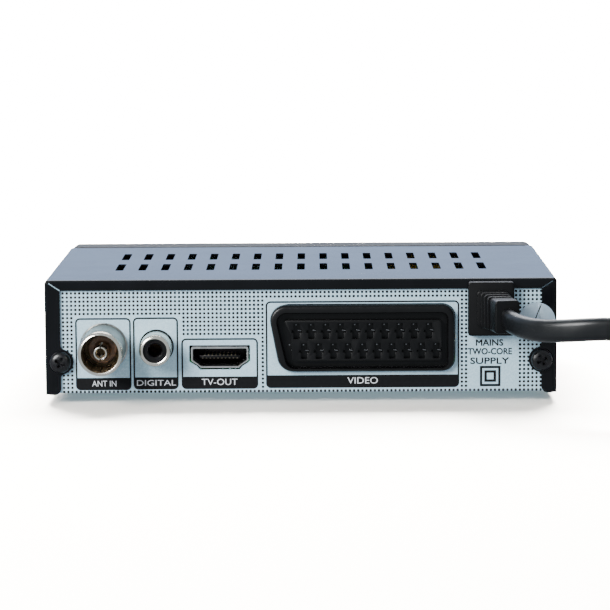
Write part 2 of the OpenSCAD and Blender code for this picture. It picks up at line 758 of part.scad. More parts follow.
function plug_plan() = rounded(
    [
        [plug_x - 5, plug_y + 0.1], [plug_x + 5, plug_y + 0.1], [plug_x + 6.5, plug_y - 9],
        [plug_x + 13, plug_y - 20], [plug_x + 13, plug_y - plug_l], [plug_x - 13, plug_y - plug_l],
        [plug_x - 13, plug_y - 20], [plug_x - 6.5, plug_y - 9]
    ],
    [1.5, 1.5, 8, 6, 1.5, 1.5, 6, 8]);

module mains_plug_body() {
    color("black") {
        slab_z(coil_high + 0.05, coil_high + 13.75, plug_plan());
        for (i = [0:4])
            block(plug_x - 4.4 + 0.3 * i, plug_y + 0.1 + 3 * i, plug_z - 4.9 + 0.25 * i,
                  plug_x + 4.4 - 0.3 * i, plug_y + 2.1 + 3 * i, plug_z + 4.9 - 0.25 * i);
        block(plug_x - 2.5, plug_y - 0.1, plug_z - 3.5, plug_x + 2.5, plug_y + 15, plug_z + 3.5);
        for (side = [-1, 1])
            rod_y(plug_x + side * plug_pin_gap / 2, plug_z,
                  plug_y - plug_l - sleeve_l, plug_y - plug_l + 0.1, pin_r);
    }
}

module mains_plug_pins() {
    color("silver") for (side = [-1, 1])
        rod_y(plug_x + side * plug_pin_gap / 2, plug_z,
              plug_y - plug_l - pin_l, plug_y - plug_l - sleeve_l, pin_r);
}

// ---- Main board and what is on it ----

module main_board() {
    color("green") difference() {
        block(-tray_half + 2.6, split_y + 1.4, board_z, tray_half - 2.6, rear_y - 1.4, board_top);
        for (p = standoffs) rod_z(p.x, p.y, board_z - 1, board_top + 1, 1.6);
    }
}

module board_screws() {
    color("silver") for (p = standoffs)
        translate([p.x, p.y, board_top]) rotate([90, 0, 0]) pan_screw(2.6, 1.6, 1.2, 5);
}

core_x = -34;
core_y = -6;

module transformer_core() {
    color("dimgray") difference() {
        block(core_x - 10, core_y - 5.5, board_top + 2, core_x + 10, core_y + 5.5, board_top + 17);
        for (side = [-1, 1])
            block(core_x + side * 5 - 2.7, core_y - 6, board_top + 5,
                  core_x + side * 5 + 2.7, core_y + 6, board_top + 14);
    }
}

module transformer_winding() {
    color("goldenrod") {
        difference() {
            block(core_x - 7.6, core_y - 8.5, board_top + 5.1,
                  core_x + 7.6, core_y + 8.5, board_top + 13.9);
            block(core_x - 2.35, core_y - 5.6, board_top + 4,
                  core_x + 2.35, core_y + 5.6, board_top + 15);
        }
        for (side = [-1, 1])
            block(core_x - 9, core_y + side * 7.6 - 1.9, board_top,
                  core_x + 9, core_y + side * 7.6 + 1.9, board_top + 5.2);
    }
}

module bulk_capacitor() { color("midnightblue") rod_z(-55, -9, board_top, board_top + 18, 5); }

// Place, radius and height of each can.
small_caps = [
    [-17, -14, 4, 11.5], [-17, -3, 4, 11.5], [-7, -17, 3.15, 11],
    [-8, 8, 3.15, 7], [31, 8, 2.5, 6], [31, 15, 2.5, 6]
];

module small_capacitors() {
    color("midnightblue") for (c = small_caps)
        rod_z(c[0], c[1], board_top, board_top + c[3], c[2]);
}

fuse_x = -46;
module mains_fuse() {
    color("lightgray") {
        rod_y(fuse_x, board_top + 3.6, 9, 27, 2.3);
        for (y = [9, 22]) block(fuse_x - 2.9, y, board_top, fuse_x + 2.9, y + 5, board_top + 3.5);
    }
}

module filter_capacitor() { color("gold") block(-62, -2.5, board_top, -51, 11.5, board_top + 12); }
module bridge_rectifier() { color("black") block(-49, -0.5, board_top + 0.6, -44, 7, board_top + 3.4); }

module power_inductors() {
    color("darkorange") {
        rod_z(-55, -22, board_top, board_top + 9.5, 4.2);
        rod_z(1.2, -13, board_top, board_top + 6, 4);
        block(29.5, -10, board_top, 35.5, -4, board_top + 3);
    }
}

module mains_header() {
    color("white") difference() {
        block(-61, 24, board_top, -52, 32, board_top + 9);
        block(-60, 25, board_top + 3, -53, 31, board_top + 10);
    }
}

module mains_wires() {
    color("saddlebrown") for (side = [-1, 1])
        sweep(smooth([
            [relief_x + side * 1.2, rear_y - 3.5, relief_z],
            [relief_x + side * 1.4, rear_y - 6, relief_z],
            [relief_x - 2 + side * 1.6, rear_y - 8.3, relief_z - 1.3],
            [-54.5 + side * 1.8, rear_y - 8.9, relief_z - 3.6],
            [-56.4 + side * 1.8, rear_y - 8.9, board_top + 8],
            [-56.5 + side * 1.8, rear_y - 8.9, board_top + 4]], 2),
            1.9, 1.9, 8);
}

module insulation_sheet() {
    color("ivory") difference() {
        block(-tray_half + 3, -30, deck_z, -22, rear_y - 3, deck_z + 0.25);
        for (p = standoffs) rod_z(p.x, p.y, deck_z - 1, deck_z + 1, standoff_r + 0.5);
        for (x = tray_vents) for (y = [-16, 4])
            if (x < -20) block(x - 1.2, y - 7.2, deck_z - 1, x + 1.2, y + 7.2, deck_z + 1);
    }
}

chip_x = 17;
chip_y = -4;
chip_t = 1.4;

module main_chip() {
    color("black") block(chip_x - 8, chip_y - 8, board_top + 0.1, chip_x + 8, chip_y + 8, board_top + chip_t);
}

module heat_sink() {
    color("silver") {
        block(chip_x - 11, chip_y - 11, board_top + chip_t, chip_x + 11, chip_y + 11, board_top + chip_t + 1.6);
        for (i = [-5:5])
            block(chip_x + i * 2.1 - 0.45, chip_y - 11, board_top + chip_t + 1.5,
                  chip_x + i * 2.1 + 0.45, chip_y + 11, board_top + chip_t + 8);
    }
}

module memory_chips() {
    color("black") {
        block(8, -32, board_top + 0.1, 26, -22, board_top + 1.2);
        block(37, -10, board_top + 0.1, 42.2, -6, board_top + 1.7);
        block(37, -18, board_top + 0.1, 46, -12, board_top + 1.4);
    }
}

module crystal() {
    color("silver") slab_z(board_top, board_top + 3.5, round_rect(8, 10, 19, 14.6, 2.2));
}

// A flat cable that rises from the main board and turns over to the front board.
ribbon_t = 0.5;
module ribbon_cable() {
    y = front_board_y + front_board_t;
    color("lightgray") {
        translate([-6, 0, 0]) rotate([90, 0, 90]) linear_extrude(12) polygon([
            [y + 5.8, board_top + 1], [y + 5.8 + ribbon_t, board_top + 1], [y + 5.8 + ribbon_t, board_top + 9.2],
            [y + 4.6, board_top + 11], [y + 1.4, board_top + 11], [y + 1.4, board_top + 10.5],
            [y + 4.4, board_top + 10.5], [y + 5.8, board_top + 9]]);
        block(-7, y + 4.6, board_top, 7, y + 8, board_top + 3);
        block(-7, y, board_top + 9.4, 7, y + 1.6, board_top + 12);
    }
}

base_tray();
top_cover();
front_bezel();
display_window();
power_button();
channel_down_button();
channel_up_button();
standby_light_pipe();
rubber_feet();
cover_screws();
round_sticker();
rf_socket_barrel();
rf_socket_insulator();
rf_center_contact();
tuner_can();
rca_socket_shell();
rca_socket_body();
rca_center_contact();
hdmi_socket_shell();
hdmi_socket_tongue();
hdmi_contacts();
scart_housing();
scart_contacts();
cord_strain_relief();
mains_lead();
mains_lead_coil();
mains_lead_tail();
coil_tie();
mains_plug_body();
mains_plug_pins();
main_board();
board_screws();
transformer_core();
transformer_winding();
bulk_capacitor();
small_capacitors();
mains_fuse();
filter_capacitor();
bridge_rectifier();
power_inductors();
mains_header();
mains_wires();
insulation_sheet();
main_chip();
heat_sink();
memory_chips();
crystal();
front_board();
front_board_screws();
digit_display();
tact_switches();
power_plunger();
channel_down_plunger();
channel_up_plunger();
infrared_receiver();
standby_led();
usb_socket_shell();
usb_socket_tongue();
ribbon_cable();
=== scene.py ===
"""A set-top digital video recorder seen from behind: fine shapes and finishes on its CAD frame.

Lengths are in millimetres, in the CAD's axes, until piece() turns a finished mesh into metres.
"""
import math
import re

import bmesh
import bpy
from mathutils import Matrix, Vector


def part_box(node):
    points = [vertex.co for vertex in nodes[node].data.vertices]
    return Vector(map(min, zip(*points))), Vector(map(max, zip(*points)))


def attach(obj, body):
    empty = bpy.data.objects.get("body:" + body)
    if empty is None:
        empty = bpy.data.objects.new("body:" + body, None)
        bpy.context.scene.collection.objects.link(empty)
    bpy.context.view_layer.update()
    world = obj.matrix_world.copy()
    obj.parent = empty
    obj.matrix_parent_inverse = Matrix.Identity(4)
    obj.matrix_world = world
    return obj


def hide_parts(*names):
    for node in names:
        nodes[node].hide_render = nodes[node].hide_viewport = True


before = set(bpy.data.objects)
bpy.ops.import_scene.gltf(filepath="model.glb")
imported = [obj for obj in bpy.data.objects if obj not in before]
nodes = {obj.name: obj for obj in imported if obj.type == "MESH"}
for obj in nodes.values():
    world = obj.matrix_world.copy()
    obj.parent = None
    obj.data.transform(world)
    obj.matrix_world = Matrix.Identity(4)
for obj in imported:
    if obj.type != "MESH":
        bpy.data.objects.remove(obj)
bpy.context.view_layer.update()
MM = 0.001


def span(node):
    """Lowest and highest corner of a CAD node, in millimetres."""
    low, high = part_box(node)
    return low / MM, high / MM


tray_high = span("base_tray")[1]
cover_low, cover_high = span("top_cover")
bezel_low, bezel_high = span("front_bezel")
half_w = cover_high.x + 0.4  # the enamel and the folds stand a little proud of the CAD sheet
case_z = cover_low.z
roof_z = cover_high.z
panel_y = tray_high.y  # outer face of the rear panel
flange_y = cover_high.y  # outer face of the cover's folded rear edges
split_y = cover_low.y
front_y = bezel_low.y


# ---------------------------------------------------------------- shader helpers


def linear(colour):
    """sRGB hex such as "3a4550" as linear red, green, blue and alpha."""
    values = [int(colour[i : i + 2], 16) / 255 for i in (0, 2, 4)]
    return [v / 12.92 if v <= 0.04045 else ((v + 0.055) / 1.055) ** 2.4 for v in values] + [1.0]


def add(tree, kind, inputs=None, **settings):
    """Adds a node; inputs holds each socket's value, or the socket that is linked into it."""
    made = tree.nodes.new(kind)
    for name, value in settings.items():
        setattr(made, name, value)
    for key, value in (inputs or {}).items():
        if isinstance(value, bpy.types.NodeSocket):
            tree.links.new(value, made.inputs[key])
        else:
            made.inputs[key].default_value = value
    return made


def material(name, colour, roughness, metallic=0.0, **inputs):
    """A new material: its node tree, its shader and the object's own coordinates."""
    made = bpy.data.materials.new(name)
    made.use_nodes = True
    tree = made.node_tree
    shader = tree.nodes["Principled BSDF"]
    shader.inputs["Base Color"].default_value = linear(colour)
    shader.inputs["Roughness"].default_value = roughness
    shader.inputs["Metallic"].default_value = metallic
    for key, value in inputs.items():
        shader.inputs[key.replace("_", " ")].default_value = value
    place = add(tree, "ShaderNodeTexCoord").outputs["Object"]
    return made, tree, shader, place


def blend(tree, shader, value, stops):
    """Colours a shader from one stop's colour to the next as a value passes from place to place."""
    ramp = add(tree, "ShaderNodeValToRGB", {"Fac": value})
    for stop, (position, colour) in zip(ramp.color_ramp.elements, stops):
        stop.position = position
        stop.color = linear(colour)
    tree.links.new(ramp.outputs["Color"], shader.inputs["Base Color"])


def mottle(tree, shader, place, size, low, high, detail=3.0):
    """Varies the base colour between two near colours over patches of that size, in millimetres."""
    noise = add(tree, "ShaderNodeTexNoise", {"Vector": place, "Scale": 1 / (size * MM), "Detail": detail})
    blend(tree, shader, noise.outputs["Fac"], ((0.35, low), (0.68, high)))


def wear(tree, shader, place, size, low, high):
    """Varies the roughness between two values over patches of that size, in millimetres."""
    noise = add(tree, "ShaderNodeTexNoise", {"Vector": place, "Scale": 1 / (size * MM), "Detail": 5.0})
    spread = add(
        tree,
        "ShaderNodeMapRange",
        {"Value": noise.outputs["Fac"], "From Min": 0.3, "From Max": 0.7, "To Min": low, "To Max": high},
    )
    tree.links.new(spread.outputs["Result"], shader.inputs["Roughness"])


def grain(tree, shader, place, size, depth, detail=2.0, stretch=(1, 1, 1)):
    """A fine bump: grains of that size and depth, in millimetres, drawn out along an axis by stretch."""
    drawn = add(tree, "ShaderNodeMapping", {"Vector": place, "Scale": stretch}).outputs["Vector"]
    noise = add(tree, "ShaderNodeTexNoise", {"Vector": drawn, "Scale": 1 / (size * MM), "Detail": detail})
    bump = add(
        tree,
        "ShaderNodeBump",
        {"Height": noise.outputs["Fac"], "Distance": depth * MM, "Strength": 1.0},
    )
    tree.links.new(bump.outputs["Normal"], shader.inputs["Normal"])


# ---------------------------------------------------------------- finishes


def black_enamel():
    """Stoved black enamel on folded steel: a faint orange peel, dark until seen at a low angle."""
    made, tree, shader, place = material("black_enamel_steel", "08090b", 0.14, IOR=1.26)
    mottle(tree, shader, place, 9, "07080a", "0b0c0f")
    wear(tree, shader, place, 14, 0.12, 0.17)
    grain(tree, shader, place, 1.1, 0.0025)
    return made


def silver_blue_enamel():
    """Pale silver-blue satin coat on the rear panel and tray, with a fine metal flake."""
    made, tree, shader, place = material("silver_blue_enamel", "aac7d5", 0.45, 0.1)
    mottle(tree, shader, place, 0.3, "a0becd", "b3cfdc", 1.0)
    grain(tree, shader, place, 0.5, 0.004)
    return made


def black_ink():
    """Screen-printed black ink: matt, a little uneven."""
    made, tree, shader, place = material("black_screen_print", "060608", 0.6, IOR=1.24)
    mottle(tree, shader, place, 0.8, "050507", "09090b", 1.0)
    return made


def white_ink():
    """Screen-printed white ink over the black."""
    made, tree, shader, place = material("white_screen_print", "c4c7ca", 0.6)
    mottle(tree, shader, place, 0.6, "b8bbbf", "d0d2d5", 1.0)
    return made


def nickel_plate():
    """Bright nickel over turned brass: mirror-like with faint lathe marks round it."""
    made, tree, shader, place = material("nickel_plated_brass", "d8d4c8", 0.2, 1.0)
    wear(tree, shader, place, 2.5, 0.16, 0.3)
    grain(tree, shader, place, 0.3, 0.003, stretch=(0.25, 1.0, 0.25))
    return made


def nickel_shaded_copy():
    """Nickel on the aerial socket's barrel, a greyer copy of the bright nickel, so that the bright copy on
    the front lip is a painted highlight; with turning marks round it.
    """
    made, tree, shader, place = material("satin_nickel_brass", "8b8d86", 0.3, 1.0)
    mottle(tree, shader, place, 4, "82847d", "94968f")
    grain(tree, shader, place, 0.3, 0.004, stretch=(0.25, 1.0, 0.25))
    return made


def dull_tin():
    """Tinned spring strip, dulled, on the wide socket's contacts."""
    made, tree, shader, place = material("dull_tinned_strip", "77787a", 0.36, 0.95)
    mottle(tree, shader, place, 1.5, "6a6b6d", "858688")
    return made


def shade_painted_tin():
    """Tinned strip painted dark: painted shade for the inside of a socket."""
    made, tree, shader, place = material("dull_dark_tin", "3a3a3b", 0.4, 0.9)
    mottle(tree, shader, place, 1.5, "303031", "454546")
    return made


def dull_gold():
    """Very thin gold over nickel on the smallest contacts: pale and grey."""
    made, tree, shader, place = material("thin_gold_over_nickel", "8d8876", 0.4, 0.8)
    mottle(tree, shader, place, 0.8, "7e7a6a", "9a9583")
    return made


def dull_brass_and_painted_shade():
    """Unplated brass, dull and brown, inside the aerial socket and on the audio socket's contact; kept this
    dark as painted shade for the inside of the bores.
    """
    made, tree, shader, place = material("dull_brass", "5c4e38", 0.42, 0.75)
    mottle(tree, shader, place, 1.2, "4c402d", "6c5d44")
    return made


def tinplate():
    """Tinned sheet steel: soft bright, with rolling marks."""
    made, tree, shader, place = material("tinned_sheet_steel", "c9c9c6", 0.28, 1.0)
    wear(tree, shader, place, 3, 0.22, 0.36)
    grain(tree, shader, place, 0.25, 0.003, stretch=(0.3, 1.0, 1.0))
    return made


def gold_flash():
    """Thin gold plating on spring contacts."""
    made, tree, shader, place = material("gold_flashed_bronze", "d9bd83", 0.25, 1.0)
    wear(tree, shader, place, 1.0, 0.18, 0.32)
    return made


def black_pbt():
    """Glass-filled PBT socket moulding: black, satin, slightly grainy."""
    made, tree, shader, place = material("black_moulded_pbt", "050506", 0.34, IOR=1.3)
    mottle(tree, shader, place, 3, "040405", "070708")
    grain(tree, shader, place, 0.35, 0.006)
    return made


def black_pvc():
    """Soft PVC lead and strain relief: satin black with a long soft sheen."""
    made, tree, shader, place = material("black_soft_pvc", "08090b", 0.32, IOR=1.38)
    mottle(tree, shader, place, 5, "07080a", "0b0c0e")
    wear(tree, shader, place, 4, 0.3, 0.4)
    grain(tree, shader, place, 0.5, 0.004)
    return made


def black_relief_pvc():
    """Harder PVC of the strain relief and plug: darker and less glossy than the lead."""
    made, tree, shader, place = material("black_firm_pvc", "040405", 0.4, IOR=1.27)
    mottle(tree, shader, place, 4, "030304", "060607")
    grain(tree, shader, place, 0.4, 0.005)
    return made


def tan_insulator():
    """Moulded acetal insulator, warm tan."""
    made, tree, shader, place = material("tan_acetal", "a07b5c", 0.4)
    mottle(tree, shader, place, 1.5, "8c694d", "b08a6a")
    return made


def black_oxide_steel():
    """Black oxide on pan-head screws: dark, slightly oily."""
    made, tree, shader, place = material("black_oxide_steel", "0c0c0e", 0.24, 0.3, IOR=1.5)
    wear(tree, shader, place, 0.8, 0.22, 0.4)
    grain(tree, shader, place, 0.4, 0.006)
    return made


def foil_label():
    """Silvery foil paper: pale, with a soft, slightly crinkled gloss."""
    made, tree, shader, place = material("silver_foil_label", "9fb3c1", 0.4, 0.25)
    mottle(tree, shader, place, 3, "95aab9", "acbdc9")
    grain(tree, shader, place, 2.2, 0.015)
    return made


def textured_abs():
    """Spark-eroded black ABS front: a fine even texture."""
    made, tree, shader, place = material("black_textured_abs", "08090a", 0.58, IOR=1.24)
    mottle(tree, shader, place, 6, "08080a", "0a0b0c")
    grain(tree, shader, place, 0.3, 0.01)
    return made


def smoked_acrylic():
    """Polished acrylic window, tinted nearly black."""
    made, tree, shader, place = material("smoked_acrylic", "030304", 0.06, Coat_Weight=0.5)
    mottle(tree, shader, place, 20, "020203", "040405")
    return made


def silver_lacquer():
    """Silver lacquer on moulded buttons, with a fine flake."""
    made, tree, shader, place = material("silver_lacquered_abs", "7c8085", 0.34, 0.6)
    mottle(tree, shader, place, 0.3, "74787d", "868a8f", 1.0)
    return made


def solder_mask():
    """Green solder mask over a copper pattern on glass-epoxy board: glossy, with darker tracks."""
    made, tree, shader, place = material("green_solder_mask", "0f3d22", 0.24)
    cells = add(
        tree,
        "ShaderNodeTexVoronoi",
        {"Vector": place, "Scale": 420.0, "Randomness": 0.85},
        distance="CHEBYCHEV",
        feature="F1",
    )
    blend(tree, shader, cells.outputs["Distance"], ((0.3, "0e4426"), (0.42, "0a331d")))
    return made


def plain(name, low, high, roughness, metallic=0.0, size=3.0, depth=0.006, **inputs):
    """A moulded, cast or coated part: two near colours over patches and a fine grain."""
    made, tree, shader, place = material(name, low, roughness, metallic, **inputs)
    mottle(tree, shader, place, size, low, high)
    if depth:
        grain(tree, shader, place, 0.4, depth)
    return made


ENAMEL = black_enamel()
PANEL = silver_blue_enamel()
INK = black_ink()
LETTERS = white_ink()
NICKEL = nickel_plate()
NICKEL_SHADED_COPY = nickel_shaded_copy()
DULL_TIN = dull_tin()
SHADE_PAINTED_TIN = shade_painted_tin()
DULL_GOLD = dull_gold()
DULL_BRASS_AND_SHADE = dull_brass_and_painted_shade()
TIN = tinplate()
GOLD = gold_flash()
PBT = black_pbt()
PVC = black_pvc()
FIRM_PVC = black_relief_pvc()
TAN = tan_insulator()
OXIDE = black_oxide_steel()
FOIL = foil_label()
ABS = textured_abs()
ACRYLIC = smoked_acrylic()
LACQUER = silver_lacquer()
MASK = solder_mask()
RUBBER = plain("matt_foot_rubber", "0f0f10", "161617", 0.8, depth=0.02)
CLEAR = plain("clear_polycarbonate", "dfe4e6", "eef1f2", 0.12, depth=0)
TIE = plain("white_tie_plastic", "d8d6cf", "e8e6e0", 0.45)
# Ground manganese-zinc ferrite, and the yellow polyester tape over the winding.
FERRITE = plain("ground_ferrite", "2b2b2d", "3a3a3c", 0.55, depth=0.015)
TAPE = plain("yellow_polyester_tape", "c99a1e", "d9ab2c", 0.25)
SLEEVE = plain("shrunk_capacitor_sleeve", "121a33", "1a2442", 0.28)
GLASS = plain("fuse_glass", "c9d3d4", "dbe3e4", 0.08, depth=0, Transmission_Weight=0.6)
EPOXY = plain("moulded_epoxy_package", "141416", "1d1d20", 0.5, size=1.2)
COPPER = plain("enamelled_copper_wire", "8a4a25", "a65d31", 0.3, 0.8, size=0.6)
NYLON = plain("moulded_nylon", "d6d1c2", "e3dfd2", 0.42)
WIRE = plain("brown_wire_insulation", "4a2c1a", "5a3722", 0.4)
BOARD_SHEET = plain("pressed_insulating_board", "c9c2ad", "d8d2bf", 0.75, size=1.5, depth=0.02)
ALUMINIUM = plain("extruded_aluminium", "a9abae", "babcbf", 0.35, 1.0, size=1.5)
RED = plain("diffused_red_lens", "7a0f12", "8c1518", 0.3, depth=0)
RIBBON = plain("grey_flat_cable", "8f9296", "a2a5a8", 0.45, size=1.0)

EDGE_ANGLE = math.radians(32)


# ---------------------------------------------------------------- outlines


def corner(a, b, c, radius, steps):
    """The arc that rounds corner b of the outline a, b, c."""
    a, b, c = Vector(a), Vector(b), Vector(c)
    u, v = (a - b).normalized(), (c - b).normalized()
    half = u.angle(v) / 2
    middle = b + (u + v).normalized() * radius / math.sin(half)
    start = b + u * radius / math.tan(half) - middle
    end = b + v * radius / math.tan(half) - middle
    turn = math.atan2(start.x * end.y - start.y * end.x, start.dot(end))
    return [middle + Matrix.Rotation(turn * i / steps, 2) @ start for i in range(steps + 1)]


def rounded(points, radii, steps=6):
    """The outline with each corner rounded to its own radius, or left sharp at radius 0."""
    found = []
    for i, (point, radius) in enumerate(zip(points, radii)):
        if radius:
            found += corner(points[i - 1], point, points[(i + 1) % len(points)], radius, steps)
        else:
            found.append(Vector(point))
    return found


def box_outline(x, z, width, height, radius, steps=6):
    """A rectangle with round corners about a middle, in X and Z."""
    w, h = width / 2, height / 2
    return rounded([(x - w, z - h), (x + w, z - h), (x + w, z + h), (x - w, z + h)], [radius] * 4, steps)


def circle(x, z, radius, steps=48):
    around = [2 * math.pi * i / steps for i in range(steps)]
    return [Vector((x + radius * math.cos(a), z + radius * math.sin(a))) for a in around]


def smooth(points, steps):
    """Points along a smooth curve through the given ones, with steps between neighbours."""
    found = []
    for i in range(len(points) - 1):
        a, b = points[max(i - 1, 0)], points[i]
        c, d = points[i + 1], points[min(i + 2, len(points) - 1)]
        for j in range(steps):
            t = j / steps
            straight = 2 * b + (c - a) * t
            bowed = (2 * a - 5 * b + 4 * c - d) * t**2
            wound = (3 * b - a - 3 * c + d) * t**3
            found.append(0.5 * (straight + bowed + wound))
    return found + [points[-1]]


def even(points, step, passes=6):
    """The same path in equal steps, with what is left of its corners smoothed away."""
    found, left = [points[0]], step
    for a, b in zip(points, points[1:]):
        length, done = (b - a).length, 0.0
        while length - done >= left:
            done += left
            found.append(a.lerp(b, done / length))
            left = step
        left -= length - done
    found.append(points[-1])
    for _ in range(passes):
        between = [(a + 2 * b + c) / 4 for a, b, c in zip(found, found[1:], found[2:])]
        found = [found[0], *between, found[-1]]
    return found


# ---------------------------------------------------------------- meshes


def loft(mesh, rings, caps=(True, True), closed=False):
    """Joins equal rings of points into a skin, with flat caps on its ends or its last ring on its first."""
    made = [[mesh.verts.new(p) for p in ring] for ring in rings]
    for a, b in zip(made, made[1:] + (made[:1] if closed else [])):
        for i in range(len(a)):
            j = (i + 1) % len(a)
            mesh.faces.new((a[i], a[j], b[j], b[i]))
    if not closed and caps[0]:
        mesh.faces.new(list(reversed(made[0])))
    if not closed and caps[1]:
        mesh.faces.new(made[-1])


def at_y(outline, y):
    return [Vector((p[0], y, p[1])) for p in outline]


def at_z(outline, z):
    return [Vector((p[0], p[1], z)) for p in outline]


def prism_y(mesh, outline, y0, y1):
    """An outline in X and Z as a solid from y0 to y1."""
    loft(mesh, [at_y(outline, y0), at_y(outline, y1)])


def prism_z(mesh, outline, z0, z1):
    loft(mesh, [at_z(outline, z0), at_z(outline, z1)])


def ring_y(mesh, outer, inner, y0, y1):
    """The solid between two outlines in X and Z, from y0 to y1."""
    loft(mesh, [at_y(outer, y0), at_y(outer, y1), at_y(inner, y1), at_y(inner, y0)], closed=True)


def block(mesh, low, high):
    x0, y0, z0 = low
    x1, y1, z1 = high
    prism_y(mesh, [(x0, z0), (x1, z0), (x1, z1), (x0, z1)], y0, y1)


def turned(mesh, x, z, profile, segments=64, closed=True):
    """A profile of (radius, y) turned about x, z: a closed ring, or a solid with two flat ends."""
    around = [2 * math.pi * i / segments for i in range(segments)]
    rings = [[Vector((x + r * math.cos(a), y, z + r * math.sin(a))) for a in around] for r, y in profile]
    loft(mesh, rings, (not closed, not closed), closed)


def shape(name, build):
    """An object from the mesh that build fills, in millimetres, with its faces turned outwards."""
    mesh = bmesh.new()
    build(mesh)
    bmesh.ops.remove_doubles(mesh, verts=mesh.verts, dist=1e-5)
    bmesh.ops.recalc_face_normals(mesh, faces=mesh.faces)
    data = bpy.data.meshes.new(name)
    mesh.to_mesh(data)
    mesh.free()
    made = bpy.data.objects.new(name, data)
    bpy.context.scene.collection.objects.link(made)
    return made


def discard(made):
    data = made.data
    bpy.data.objects.remove(made)
    if isinstance(data, bpy.types.Mesh):
        bpy.data.meshes.remove(data)
    else:
        bpy.data.curves.remove(data)


def settle(made):
    """Turns an object's modifiers into its mesh."""
    bpy.context.view_layer.update()
    graph = bpy.context.evaluated_depsgraph_get()
    data = bpy.data.meshes.new_from_object(made.evaluated_get(graph))
    old = made.data
    made.modifiers.clear()
    made.data = data
    bpy.data.meshes.remove(old)


def combine(made, other, operation="DIFFERENCE"):
    """Takes another object out of one, or joins it on, and removes it."""
    modifier = made.modifiers.new("combine", "BOOLEAN")
    modifier.operation = operation
    modifier.object = other
    modifier.solver = "EXACT"
    settle(made)
    discard(other)


def cut(made, build):
    """Takes what build fills out of an object."""
    combine(made, shape("cutter", build))


def ease(made, width, segments=2, angle=EDGE_ANGLE):
    """Rounds an object's sharp edges."""
    modifier = made.modifiers.new("ease", "BEVEL")
    modifier.width = width
    modifier.segments = segments
    modifier.limit_method = "ANGLE"
    modifier.angle_limit = angle
    modifier.use_clamp_overlap = True
    modifier.miter_outer = "MITER_ARC"
    settle(made)


def join(first, *others):
    """One object from several, each keeping its own material slots."""
    bpy.context.view_layer.update()
    with bpy.context.temp_override(active_object=first, selected_editable_objects=[first, *others]):
        bpy.ops.object.join()
    return first


def finished(made, finish):
    made.data.materials.clear()
    made.data.materials.append(finish)
    return made


def piece(made, finish, slot, *stands_for, body="case", angle=EDGE_ANGLE, flat=False):
    """A finished piece: in metres, smooth between sharp edges, with its material, body and CAD nodes."""
    made.data.transform(Matrix.Scale(MM, 4))
    for face in made.data.polygons:
        face.use_smooth = True
    made.data.set_sharp_from_angle(angle=angle)
    if flat:
        modifier = made.modifiers.new("flat", "WEIGHTED_NORMAL")
        modifier.weight = 100
        modifier.keep_sharp = True
        settle(made)
    if finish:
        finished(made, finish)
    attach(made, body)
    if stands_for:
        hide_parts(*stands_for)
    return made


def set_out_tree():
    """A Geometry Nodes tree that sets one pattern at each point, a little varied in size."""
    tree = bpy.data.node_groups.new("set_out", "GeometryNodeTree")
    sockets = tree.interface
    for name, kind in (
        ("Points", "NodeSocketGeometry"),
        ("Pattern", "NodeSocketObject"),
        ("Variation", "NodeSocketFloat"),
        ("Seed", "NodeSocketInt"),
        ("Finish", "NodeSocketMaterial"),
    ):
        sockets.new_socket(name, in_out="INPUT", socket_type=kind)
    sockets.new_socket("Shapes", in_out="OUTPUT", socket_type="NodeSocketGeometry")
    given = tree.nodes.new("NodeGroupInput").outputs
    pattern = add(tree, "GeometryNodeObjectInfo", {"Object": given["Pattern"], "As Instance": True})
    smallest = add(tree, "ShaderNodeMath", {0: 1.0, 1: given["Variation"]}, operation="SUBTRACT")
    size = add(tree, "FunctionNodeRandomValue", {2: smallest.outputs[0], 3: 1.0, "Seed": given["Seed"]})
    scale = add(tree, "ShaderNodeCombineXYZ", {"X": size.outputs[1], "Y": 1.0, "Z": size.outputs[1]})
    placed = add(
        tree,
        "GeometryNodeInstanceOnPoints",
        {"Points": given["Points"], "Instance": pattern.outputs["Geometry"], "Scale": scale.outputs[0]},
    )
    real = add(tree, "GeometryNodeRealizeInstances", {"Geometry": placed.outputs["Instances"]})
    coated = add(
        tree, "GeometryNodeSetMaterial", {"Geometry": real.outputs["Geometry"], "Material": given["Finish"]}
    )
    result = tree.nodes.new("NodeGroupOutput")
    tree.links.new(coated.outputs["Geometry"], result.inputs["Shapes"])
    return tree


SET_OUT = set_out_tree()


def set_out(name, points, build, finish, variation=0.0, seed=3):
    """The shape that build fills about the origin, repeated at each point."""
    pattern = shape("pattern", build)
    made = shape(name, lambda mesh: [mesh.verts.new(p) for p in points])
    modifier = made.modifiers.new("set_out", "NODES")
    modifier.node_group = SET_OUT
    values = {"Pattern": pattern, "Variation": variation, "Seed": seed, "Finish": finish}
    for item in SET_OUT.interface.items_tree:
        if item.in_out == "INPUT" and item.name in values:
            modifier[item.identifier] = values[item.name]
    settle(made)
    discard(pattern)
    return made


# ---------------------------------------------------------------- camera, light and floor

VIEW_AZIMUTH = -0.20
VIEW_ELEVATION = 7.35
VIEW_DISTANCE = 724.4
VIEW_ROLL = -0.346
VIEW_LENS = 165.0
VIEW_TARGET = Vector((-1.13, panel_y, 25.68))


def camera():
    data = bpy.data.cameras.new("camera")
    made = bpy.data.objects.new("camera", data)
    bpy.context.scene.collection.objects.link(made)
    data.sensor_width = 36
    data.lens = VIEW_LENS
    azimuth, elevation = math.radians(VIEW_AZIMUTH), math.radians(VIEW_ELEVATION)
    flat = math.cos(elevation)
    back = Vector((math.sin(azimuth) * flat, math.cos(azimuth) * flat, math.sin(elevation)))
    made.location = (VIEW_TARGET + back * VIEW_DISTANCE) * MM
    turn = (-back).to_track_quat("-Z", "Y").to_matrix() @ Matrix.Rotation(math.radians(VIEW_ROLL), 3, "Z")
    made.rotation_euler = turn.to_euler()
    data.clip_start = 0.05
    data.clip_end = 100
    bpy.context.scene.camera = made


